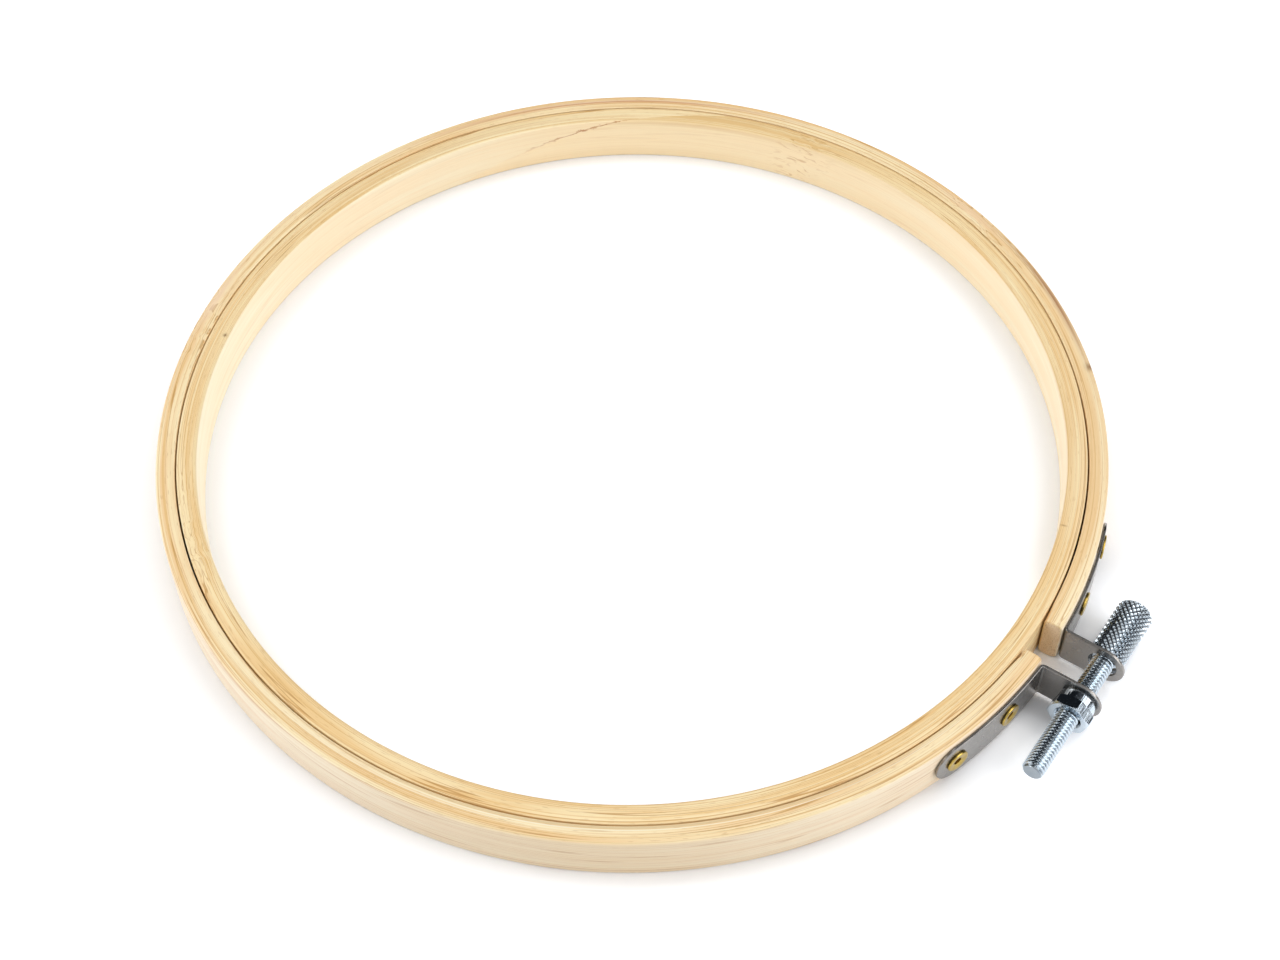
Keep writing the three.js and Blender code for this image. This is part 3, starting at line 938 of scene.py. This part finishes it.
class BracketPlan:
    """A bracket's line seen from above: the ear, the bend and the leaf along the ring."""

    def __init__(self, hardware):
        sheet = hardware.sheet
        self.half = (BRACKET_HIGH.z - BRACKET_LOW.z) / 2
        self.ear_x = BRACKET_LOW.x + sheet / 2
        self.tip_y = BRACKET_LOW.y - RING_CENTRE.y
        leaf_outside = OUTER_OUTSIDE + hardware.seat_gap + sheet
        self.leaf_radius = leaf_outside - sheet / 2
        self.leaf_outside = leaf_outside
        ear_far = BRACKET_LOW.x + sheet
        self.bend_x = ear_far + hardware.bend_radius
        self.bend_y = -math.sqrt((leaf_outside + hardware.bend_radius) ** 2 - self.bend_x**2)
        self.bend_angle = math.atan2(self.bend_x, -self.bend_y)
        self.bend_radius = hardware.bend_radius + sheet / 2
        self.bend_start = self.bend_y - self.tip_y
        self.bend_end = self.bend_start + self.bend_radius * (math.pi / 2 - self.bend_angle)
        first = ear_far + hardware.first_rivet
        self.rivet_angles = [
            (first + number * hardware.rivet_spacing) / leaf_outside for number in range(2)
        ]
        self.rivets = [
            self.bend_end + self.leaf_radius * (angle - self.bend_angle) for angle in self.rivet_angles
        ]
        self.length = self.rivets[-1] + hardware.beyond_rivet * self.leaf_radius / leaf_outside

    def bent(self, flat, side):
        """Where a point of the flat blank ends up."""
        u, v, w = flat
        if u <= self.bend_start:
            x, y = self.ear_x + w, self.tip_y + u
        elif u <= self.bend_end:
            angle = math.pi - (u - self.bend_start) / self.bend_radius
            radius = self.bend_radius - w
            x, y = self.bend_x + radius * math.cos(angle), self.bend_y + radius * math.sin(angle)
        else:
            angle = self.bend_angle + (u - self.bend_end) / self.leaf_radius
            radius = self.leaf_radius + w
            x, y = radius * math.sin(angle), -radius * math.cos(angle)
        return Vector((side * x, y + RING_CENTRE.y, MIDDLE_HEIGHT + v))


class HOOP_OT_brackets(bpy.types.Operator):
    """Make the two bent steel brackets"""

    bl_idname = "hoop.brackets"
    bl_label = "Brackets"

    ACROSS = 12
    BEND_STEPS = 12
    PATCH_ROWS = 3
    FACE_LENGTH = 0.9 * MM

    def execute(self, context):
        hardware = context.scene.hoop_hardware
        steel = rolled_steel(context.scene.hoop_colours)
        for name, side in SIDES.items():
            mesh = bpy.data.meshes.new(name + "_steel_bracket")
            self.build(mesh, side, hardware)
            mesh.materials.append(steel)
            shade(mesh, 20)
            piece = new_object(mesh.name, mesh)
            finish_piece(piece, "outer_frame", "bracket_steel", name + "_bracket")
        return {"FINISHED"}

    def build(self, mesh, side, hardware):
        """Cut the flat blank, break its edges, then bend it."""
        plan = BracketPlan(hardware)
        with open_mesh(mesh) as shape:
            self.flat_blank(shape, plan, hardware)
            bmesh.ops.remove_doubles(shape, verts=shape.verts, dist=0.001 * MM)
            made = bmesh.ops.extrude_face_region(shape, geom=shape.faces[:])["geom"]
            raised = [item for item in made if isinstance(item, bmesh.types.BMVert)]
            bmesh.ops.translate(shape, verts=raised, vec=(0, 0, hardware.sheet))
            bmesh.ops.translate(shape, verts=shape.verts, vec=(0, 0, -hardware.sheet / 2))
            bmesh.ops.recalc_face_normals(shape, faces=shape.faces)
            rims = [edge for edge in shape.edges if edge.calc_face_angle(0) > math.radians(60)]
            round_edges(shape, rims, hardware.sheet_break, 2)
            for vert in shape.verts:
                vert.co = plan.bent(vert.co, side)
            bmesh.ops.recalc_face_normals(shape, faces=shape.faces)

    def flat_blank(self, shape, plan, hardware):
        """The strip laid flat: u along it, v across it, with its holes."""
        half = plan.half
        ear = self.rounded_loop(half, 2 * half, -1, half)
        self.patch(shape, ear, half, hardware.screw_hole)
        first, second = plan.rivets
        bend = [
            plan.bend_start + (plan.bend_end - plan.bend_start) * step / self.BEND_STEPS
            for step in range(self.BEND_STEPS + 1)
        ]
        self.plain(shape, [2 * half, *bend, first - half], half)
        self.patch(shape, self.square_loop(first, half), first, hardware.rivet_hole)
        self.plain(shape, [first + half, second - half], half)
        end = self.rounded_loop(plan.length - half, second - half, 1, half)
        self.patch(shape, end, second, hardware.rivet_hole)

    def square_loop(self, middle, half):
        """A square round a hole, as many points a side as the strip has across."""
        corners = [(half, -half), (half, half), (-half, half), (-half, -half)]
        loop = []
        for (x0, y0), (x1, y1) in zip(corners, corners[1:] + corners[:1]):
            for step in range(self.ACROSS):
                share = step / self.ACROSS
                loop.append((middle + x0 + (x1 - x0) * share, y0 + (y1 - y0) * share))
        return loop

    def rounded_loop(self, round_middle, straight, way, half):
        """A D round a hole: straight across the strip on one side and round on the other."""
        count = self.ACROSS
        loop = [(straight, way * (half - 2 * half * step / count)) for step in range(count)]
        run = [step / (count // 2) for step in range(count // 2)]
        loop += [(straight + (round_middle - straight) * share, -way * half) for share in run]
        for step in range(2 * count):
            angle = math.pi * step / (2 * count)
            loop.append((round_middle + way * half * math.sin(angle), -way * half * math.cos(angle)))
        loop += [(round_middle + (straight - round_middle) * share, way * half) for share in run]
        return loop

    def patch(self, shape, loop, middle, hole):
        """Faces between a round hole and the outline round it."""
        rings = []
        for row in range(self.PATCH_ROWS + 1):
            ring = []
            for x, y in loop:
                away = Vector((x - middle, y))
                place = (away.normalized() * hole).lerp(away, row / self.PATCH_ROWS)
                ring.append(shape.verts.new((middle + place.x, place.y, 0)))
            rings.append(ring)
        for low, high in zip(rings, rings[1:]):
            for number in range(len(loop)):
                following = (number + 1) % len(loop)
                shape.faces.new((low[number], low[following], high[following], high[number]))

    def plain(self, shape, stops, half):
        """Faces of a plain stretch between stops, with more where two stops lie far apart."""
        filled = [stops[0]]
        for stop in stops[1:]:
            last = filled[-1]
            pieces = max(1, math.ceil((stop - last) / self.FACE_LENGTH))
            filled += [last + (stop - last) * step / pieces for step in range(1, pieces + 1)]
        across = [half * (2 * step / self.ACROSS - 1) for step in range(self.ACROSS + 1)]
        columns = [[shape.verts.new((u, v, 0)) for v in across] for u in filled]
        for low, high in zip(columns, columns[1:]):
            for step in range(self.ACROSS):
                shape.faces.new((low[step], high[step], high[step + 1], low[step + 1]))


class HOOP_OT_rivets(bpy.types.Operator):
    """Make the brass tubular rivets"""

    bl_idname = "hoop.rivets"
    bl_label = "Rivets"

    AROUND = 48
    ROLL_STEPS = 8
    ROLL_HEIGHT = 0.44 * MM
    RIM_LIFT = 0.01 * MM
    CROWN_DIP = 0.22 * MM
    HEAD_THICKNESS = 0.6 * MM
    HEAD_EDGE = 0.1 * MM
    BORE_TOP = 0.6 * MM
    BORE_BOTTOM = 1.9 * MM
    BORE_TAPER = 0.94

    def execute(self, context):
        hardware = context.scene.hoop_hardware
        plan = BracketPlan(hardware)
        first, second = plan.rivet_angles
        brass = drawn_brass(context.scene.hoop_colours)
        form = rivet_row_form()
        for name, side in SIDES.items():
            sizes = {
                "Count": len(plan.rivets),
                "First turn": math.pi + side * first,
                "Turn step": side * (second - first),
                "Centre": RING_CENTRE,
                "Material": brass,
            }
            rivet = self.one_rivet(hardware, plan.leaf_outside)
            piece = run_form(form, name + "_brass_rivets", sizes, rivet)
            shade(piece.data, 35)
            nodes = [f"{name}_rivet_{number + 1}" for number in range(len(plan.rivets))]
            finish_piece(piece, "outer_frame", "rivet_brass", *nodes)
        return {"FINISHED"}

    def one_rivet(self, hardware, seat):
        """One rivet standing out along Y from the ring's axis: flat head, tube and rolled rim."""
        low = seat + self.RIM_LIFT
        top = low + self.ROLL_HEIGHT
        roll = self.ROLL_HEIGHT / 2
        crown, bore = hardware.rivet_rim - roll, hardware.rivet_bore
        head, head_low = hardware.rivet_head, seat - hardware.rivet_depth
        head_high = head_low + self.HEAD_THICKNESS
        edge = self.HEAD_EDGE
        profile = [(head_low, 0), (head_low, head - edge), (head_low + edge, head)]
        profile += [(head_high - edge, head), (head_high, head - edge)]
        profile += [(head_high, hardware.rivet_shank), (low, hardware.rivet_shank)]
        for step in range(self.ROLL_STEPS + 1):
            angle = -math.pi / 2 + math.pi * step / self.ROLL_STEPS
            profile.append((low + roll + roll * math.sin(angle), crown + roll * math.cos(angle)))
        # The rolled metal dips gently from its crown into the tube
        for step in range(1, self.ROLL_STEPS + 1):
            share = step / self.ROLL_STEPS
            profile.append((top - self.CROWN_DIP * share**2.5, crown + (bore - crown) * share))
        bore *= self.BORE_TAPER
        bottom = top - self.BORE_BOTTOM
        profile += [(top - self.BORE_TOP, bore), (bottom, bore), (bottom, 0)]
        mesh = turned_mesh("one_rivet", [(x, radius, self.AROUND) for x, radius in profile])
        mesh.transform(Matrix.Rotation(math.pi / 2, 4, "Z"))
        return mesh


class HOOP_OT_thumb_screw(bpy.types.Operator):
    """Make the knurled thumb screw"""

    bl_idname = "hoop.thumb_screw"
    bl_label = "Thumb screw"

    AROUND_SHANK = 80
    AROUND_KNURL = 8
    ROWS_TO_A_PITCH = 16
    ROWS_TO_A_KNURL = 8
    CHAMFER_ROWS = 4
    SHOULDER = 0.3 * MM
    KNURL_START = 0.3 * MM
    CLEAR = 0.01 * MM
    # How much painted shade darkens the thread's and the knurl's grooves
    THREAD_SHADE = 0.5
    KNURL_SHADE = 0.8

    def execute(self, context):
        hardware = context.scene.hoop_hardware
        head_from = SCREW_LOW.x + hardware.shank_length
        knurl_from, knurl_to = head_from + self.KNURL_START, SCREW_HIGH.x - hardware.head_chamfer
        beyond_tip = SCREW_LOW.x - MM
        thread = (beyond_tip, head_from, hardware.shank_radius, hardware.thread_depth, self.THREAD_SHADE)
        knurl = (knurl_from, knurl_to, HEAD_RADIUS, hardware.knurl_depth, self.KNURL_SHADE)
        colours = context.scene.hoop_colours
        sizes = {
            "Axis": SCREW_AXIS,
            "Shank radius": hardware.shank_radius,
            "Thread pitch": hardware.thread_pitch,
            "Thread depth": hardware.thread_depth,
            "Head from": head_from + self.CLEAR,
            "Head radius": HEAD_RADIUS,
            "Knurls round": float(hardware.knurls),
            "Knurl length": hardware.knurl_length,
            "Knurl depth": hardware.knurl_depth,
            "Material": zinc_plating("bright_zinc_on_turned_steel", colours, grooves=(thread, knurl)),
        }
        blank = turned_mesh("turned_blank", self.blank(hardware, head_from), SCREW_AXIS)
        piece = run_form(rolled_screw_form(), "knurled_thumb_screw", sizes, blank)
        shade(piece.data, 35)
        finish_piece(piece, "screw", "zinc", "thumb_screw")
        return {"FINISHED"}

    def blank(self, hardware, head_from):
        """The turned blank's rows, from tip to head: x, radius, and points round."""
        around, around_head = self.AROUND_SHANK, self.AROUND_KNURL * hardware.knurls
        tip, end = SCREW_LOW.x, SCREW_HIGH.x
        shank, chamfer = hardware.shank_radius, hardware.tip_chamfer
        rows = [(tip, 0, around)]
        for part in range(self.CHAMFER_ROWS):
            cut = chamfer * part / self.CHAMFER_ROWS
            rows.append((tip + cut, shank - chamfer + cut, around))
        straight = head_from - tip - chamfer
        count = math.floor(straight / (hardware.thread_pitch / self.ROWS_TO_A_PITCH))
        rows += [(tip + chamfer + straight * part / count, shank, around) for part in range(count + 1)]
        inner = HEAD_RADIUS - hardware.head_edge
        rows += [(head_from, shank + self.SHOULDER, around_head), (head_from, inner, around_head)]
        outer = HEAD_RADIUS - hardware.head_chamfer
        count = round((end - head_from) / (hardware.knurl_length / self.ROWS_TO_A_KNURL))
        for part in range(1, count):
            x = head_from + (end - head_from) * part / count
            rows.append((x, min(HEAD_RADIUS, inner + x - head_from, outer + end - x), around_head))
        return rows + [(end, outer, around_head), (end, 0, around_head)]


class HOOP_OT_nut(bpy.types.Operator):
    """Make the nut with its round collar"""

    bl_idname = "hoop.nut"
    bl_label = "Nut"

    AROUND = 144
    AROUND_HOLE = 96
    HOLE_CLEARANCE = 0.2 * MM
    COUNTERSINK = 0.4 * MM
    COUNTERSINK_DEPTH = 0.35 * MM
    PAST_FACE = 0.05 * MM
    COLLAR_EDGE = 0.3 * MM
    # The share of its radius at which a rounded edge's middle lies in from the sharp corner
    COLLAR_EDGE_MIDDLE = 0.3
    COLLAR_BREAK = 0.1 * MM
    CORNER_BREAK = 0.12 * MM
    DRAWN_LINES = 0.8

    def execute(self, context):
        hardware = context.scene.hoop_hardware
        length = NUT_HIGH.x - NUT_LOW.x
        flat = hardware.across_flats / 2
        corner = flat / math.cos(math.pi / 6)
        nut = self.solid(self.profile(hardware, length, flat, corner), self.AROUND)
        bar = [(-length, 0), (-length, corner), (2 * length, corner), (2 * length, 0)]
        hexagon = self.solid(bar, 6)
        self.round_corners(hexagon.data)
        bore = hardware.shank_radius + self.HOLE_CLEARANCE
        wide = bore + self.COUNTERSINK
        drill = [(-length, 0), (-length, bore), (length - self.COUNTERSINK_DEPTH, bore)]
        drill += [(length + self.PAST_FACE, wide), (2 * length, wide), (2 * length, 0)]
        self.cut(nut, hexagon, "INTERSECT")
        self.cut(nut, self.solid(drill, self.AROUND_HOLE), "DIFFERENCE")
        mesh = nut.data
        mesh.transform(Matrix.Rotation(hardware.nut_turn, 4, "X"))
        mesh.transform(Matrix.Rotation(math.pi, 4, "Z"))
        mesh.transform(Matrix.Translation(SCREW_AXIS + Vector((NUT_HIGH.x, 0, 0))))
        tidy_mesh(mesh)
        mesh.materials.clear()
        colours = context.scene.hoop_colours
        mesh.materials.append(zinc_plating("bright_zinc_on_nut", colours, self.DRAWN_LINES))
        shade(mesh, 18)
        nut.name = mesh.name = "collar_nut"
        finish_piece(nut, "loose_nut", "zinc", "nut")
        return {"FINISHED"}

    def profile(self, hardware, length, flat, corner):
        """The nut's outline before its flats are cut: the collar, and chamfers of 30 degrees."""
        chamfer = (corner - flat) * math.tan(math.pi / 6)
        collar, edge, step = hardware.collar_radius, self.COLLAR_EDGE, hardware.collar_length
        eased = edge * self.COLLAR_EDGE_MIDDLE
        outline = [(0, 0), (0, collar - edge), (eased, collar - eased), (edge, collar)]
        outline += [(step - self.COLLAR_BREAK, collar), (step, collar - self.COLLAR_BREAK)]
        outline += [(step, flat), (step + chamfer, corner), (length - chamfer, corner)]
        return outline + [(length, flat), (length, 0)]

    def solid(self, profile, count):
        """A turned solid as an object, to be cut or to cut with."""
        mesh = turned_mesh("nut_blank", [(x, radius, count) for x, radius in profile])
        return new_object("nut_blank", mesh)

    def round_corners(self, mesh):
        """Break the long corners of a hexagonal bar."""
        with open_mesh(mesh) as shape:
            ends = [(edge, edge.verts[0].co - edge.verts[1].co) for edge in shape.edges]
            corners = [edge for edge, way in ends if abs(way.normalized().x) > 0.99]
            round_edges(shape, corners, self.CORNER_BREAK, 3)

    def cut(self, blank, cutter, operation):
        """Cut one solid with another, and drop the cutter."""
        modifier = blank.modifiers.new("Cut", "BOOLEAN")
        modifier.operation = operation
        modifier.object = cutter
        modifier.solver = "EXACT"
        made = evaluated_mesh(blank)
        blank.modifiers.remove(modifier)
        blank.data = made
        bpy.data.objects.remove(cutter)


class HOOP_OT_stage(bpy.types.Operator):
    """Set up the floor, the lamps, the surroundings and the camera"""

    bl_idname = "hoop.stage"
    bl_label = "Stage"

    # Degrees round from +X, degrees up, and width in metres
    SOFTBOXES = {
        "right_back": (-25, 55, 0.5),
        "left_back": (98, 56, 0.5),
        "right_front": (-78, 30, 1.0),
        "left_front": (132, 30, 1.0),
    }
    LAMP_DISTANCE = 1.25
    # Degrees round from +X, degrees up, distance, width and height in metres
    DARK_CARDS = {
        "dark_card_back": (20, 40, 0.45, 0.95, 0.6),
        "dark_card_left": (150, 62, 0.6, 0.5, 0.4),
        "dark_card_low": (168, 9, 0.36, 0.5, 0.11),
        "dark_card_right": (-50, 9, 0.4, 0.3, 0.11),
    }
    FLOOR_RADIUS = 6.0

    def execute(self, context):
        settings = context.scene.hoop_stage
        self.floor(settings)
        self.surroundings(context.scene, settings)
        for name, place in self.SOFTBOXES.items():
            self.lamp(name + "_softbox", *place, getattr(settings, name))
        velvet = self.black_velvet()
        for name, place in self.DARK_CARDS.items():
            self.card(name, *place, velvet)
        self.camera(context.scene, settings)
        context.scene.view_settings.view_transform = "Standard"
        return {"FINISHED"}

    def white_to_eye(self, add):
        """1 for rays that come straight from the camera, or by a mirror or glass."""
        path = add("ShaderNodeLightPath", out=None)
        seen = add("MAXIMUM", path["Is Camera Ray"], path["Is Glossy Ray"])
        return add("MAXIMUM", seen, path["Is Transmission Ray"])

    def floor_shine(self, add, settings):
        """How much the floor shines to the eye at each place, so that it stays white between shadows."""
        place = add("ShaderNodeTexCoord", out="Object")
        # From 0.2 m out to 0.9 m the table shines more and more, so that it stays white to the horizon
        distance = add(VECTOR, place, out="Value", operation="LENGTH")
        far = add(RANGE, distance, 0.2, 0.9, **SMOOTH)
        # Close under a piece it doesn't shine, so the dark line where wood and table meet stays
        open_sky = add("ShaderNodeAmbientOcclusion", {"Distance": 8 * MM}, out="AO", samples=8)
        uncovered = add(RANGE, open_sky, 0.45, 0.92, **SMOOTH)
        strength = add("MULTIPLY_ADD", far, 0.5, add("MULTIPLY", uncovered, settings.glow))
        # Painted light round the hardware thins the shadows there, back to full 34 mm away
        screw = (0, SCREW_AXIS.y, 0)
        from_screw = add(VECTOR, place, screw, out="Value", operation="DISTANCE")
        by_screw = add("SUBTRACT", 1.0, add(RANGE, from_screw, 12 * MM, 34 * MM, **SMOOTH))
        painted_light_near_screw = add("MULTIPLY", by_screw, add(RANGE, open_sky, 0.2, 0.7, **SMOOTH))
        return add("MULTIPLY_ADD", painted_light_near_screw, 0.36, strength)

    def floor(self, settings):
        """A wide matt white table: it shows the object's soft shadow, and melts into the white room."""
        mesh = bpy.data.meshes.new("floor")
        with open_mesh(mesh) as shape:
            bmesh.ops.create_circle(shape, cap_ends=True, segments=96, radius=self.FLOOR_RADIUS)
        material, add = new_material("matt_white_table")
        strength = add("MULTIPLY", self.white_to_eye(add), self.floor_shine(add, settings))
        shine = add("ShaderNodeEmission", {"Color": linear("#FFFFFF"), "Strength": strength})
        paint = {"Base Color": linear("#F7F9FD"), "Roughness": 0.9, "Specular IOR Level": 0.0}
        both = add("ShaderNodeAddShader", add("ShaderNodeBsdfPrincipled", paint), shine)
        add("ShaderNodeOutputMaterial", {"Surface": both})
        mesh.materials.append(material)
        new_object("floor", mesh)

    def surroundings(self, scene, settings):
        """Even light from all round, seen as plain white."""
        world = bpy.data.worlds.new("white_room")
        world.use_nodes = True
        world.node_tree.nodes.clear()
        add = partial(add_node, world.node_tree)
        lights = [
            add("ShaderNodeBackground", {"Color": linear("#FFFFFF"), "Strength": strength})
            for strength in (settings.fill, 1.0)
        ]
        mixed = add("ShaderNodeMixShader", self.white_to_eye(add), *lights)
        add("ShaderNodeOutputWorld", {"Surface": mixed})
        scene.world = world

    def direction(self, azimuth, elevation):
        """The way from the middle of the hoop towards a lamp or a card."""
        across, high = math.radians(azimuth), math.radians(elevation)
        flat = math.cos(high)
        return Vector((flat * math.cos(across), flat * math.sin(across), math.sin(high)))

    def lamp(self, name, azimuth, elevation, size, power):
        """A square softbox aimed at the hoop."""
        data = bpy.data.lights.new(name, "AREA")
        data.energy = power
        data.size = size
        lamp = new_object(name, data)
        way = self.direction(azimuth, elevation)
        lamp.location = way * self.LAMP_DISTANCE
        lamp.rotation_euler = (-way).to_track_quat("-Z", "Y").to_euler()

    def black_velvet(self):
        """Black velvet: nearly black, and without any shine."""
        material, add = new_material("black_velvet")
        sockets = {"Base Color": linear("#1E2023"), "Roughness": 1.0, "Specular IOR Level": 0.0}
        return close_material(material, add, sockets)

    def card(self, name, azimuth, elevation, distance, width, height, velvet):
        """A dark card that only reflections show, as in a studio, for contrast on the metal."""
        way = self.direction(azimuth, elevation)
        mesh = bpy.data.meshes.new(name)
        with open_mesh(mesh) as shape:
            bmesh.ops.create_grid(shape, x_segments=1, y_segments=1, size=0.5)
            bmesh.ops.scale(shape, verts=shape.verts, vec=(width, height, 1))
        mesh.materials.append(velvet)
        mesh.transform((-way).to_track_quat("-Z", "Y").to_matrix().to_4x4())
        mesh.transform(Matrix.Translation(way * distance))
        card = new_object(name, mesh)
        card.visible_camera = False
        card.visible_diffuse = False
        card.visible_shadow = False

    def camera(self, scene, settings):
        """The camera as it stood for the photograph."""
        data = bpy.data.cameras.new("camera")
        data.lens = settings.lens
        data.sensor_width = 36.0
        data.clip_start = 10 * MM
        camera = new_object("camera", data)
        camera.location = settings.camera_place
        camera.rotation_euler = settings.camera_turn
        scene.camera = camera


class HOOP_PT_panel(bpy.types.Panel):
    """The hoop's pieces and settings in the sidebar"""

    bl_idname = "HOOP_PT_panel"
    bl_label = "Embroidery hoop"
    bl_space_type = "VIEW_3D"
    bl_region_type = "UI"
    bl_category = "Hoop"

    def draw(self, context):
        for operator in PIECES:
            self.layout.operator(operator.bl_idname)
        for name in SETTINGS:
            group = getattr(context.scene, name)
            box = self.layout.box()
            for field in group.__annotations__:
                box.prop(group, field)


SETTINGS = {
    "hoop_strips": HoopStrips,
    "hoop_hardware": HoopHardware,
    "hoop_colours": HoopColours,
    "hoop_stage": HoopStage,
}
PIECES = (
    HOOP_OT_outer_ring,
    HOOP_OT_inner_ring,
    HOOP_OT_brackets,
    HOOP_OT_rivets,
    HOOP_OT_thumb_screw,
    HOOP_OT_nut,
    HOOP_OT_stage,
)


def register():
    """Add the settings, the operators and the panel."""
    for name, group in SETTINGS.items():
        bpy.utils.register_class(group)
        setattr(bpy.types.Scene, name, bpy.props.PointerProperty(type=group))
    for shown in (*PIECES, HOOP_PT_panel):
        bpy.utils.register_class(shown)


def unregister():
    """Take them away again."""
    for shown in (HOOP_PT_panel, *reversed(PIECES)):
        bpy.utils.unregister_class(shown)
    for name, group in reversed(SETTINGS.items()):
        delattr(bpy.types.Scene, name)
        bpy.utils.unregister_class(group)


def main():
    """Make every piece."""
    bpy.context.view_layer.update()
    register()
    bpy.ops.hoop.outer_ring()
    bpy.ops.hoop.inner_ring()
    bpy.ops.hoop.brackets()
    bpy.ops.hoop.rivets()
    bpy.ops.hoop.thumb_screw()
    bpy.ops.hoop.nut()
    bpy.ops.hoop.stage()


if __name__ == "__main__":
    main()
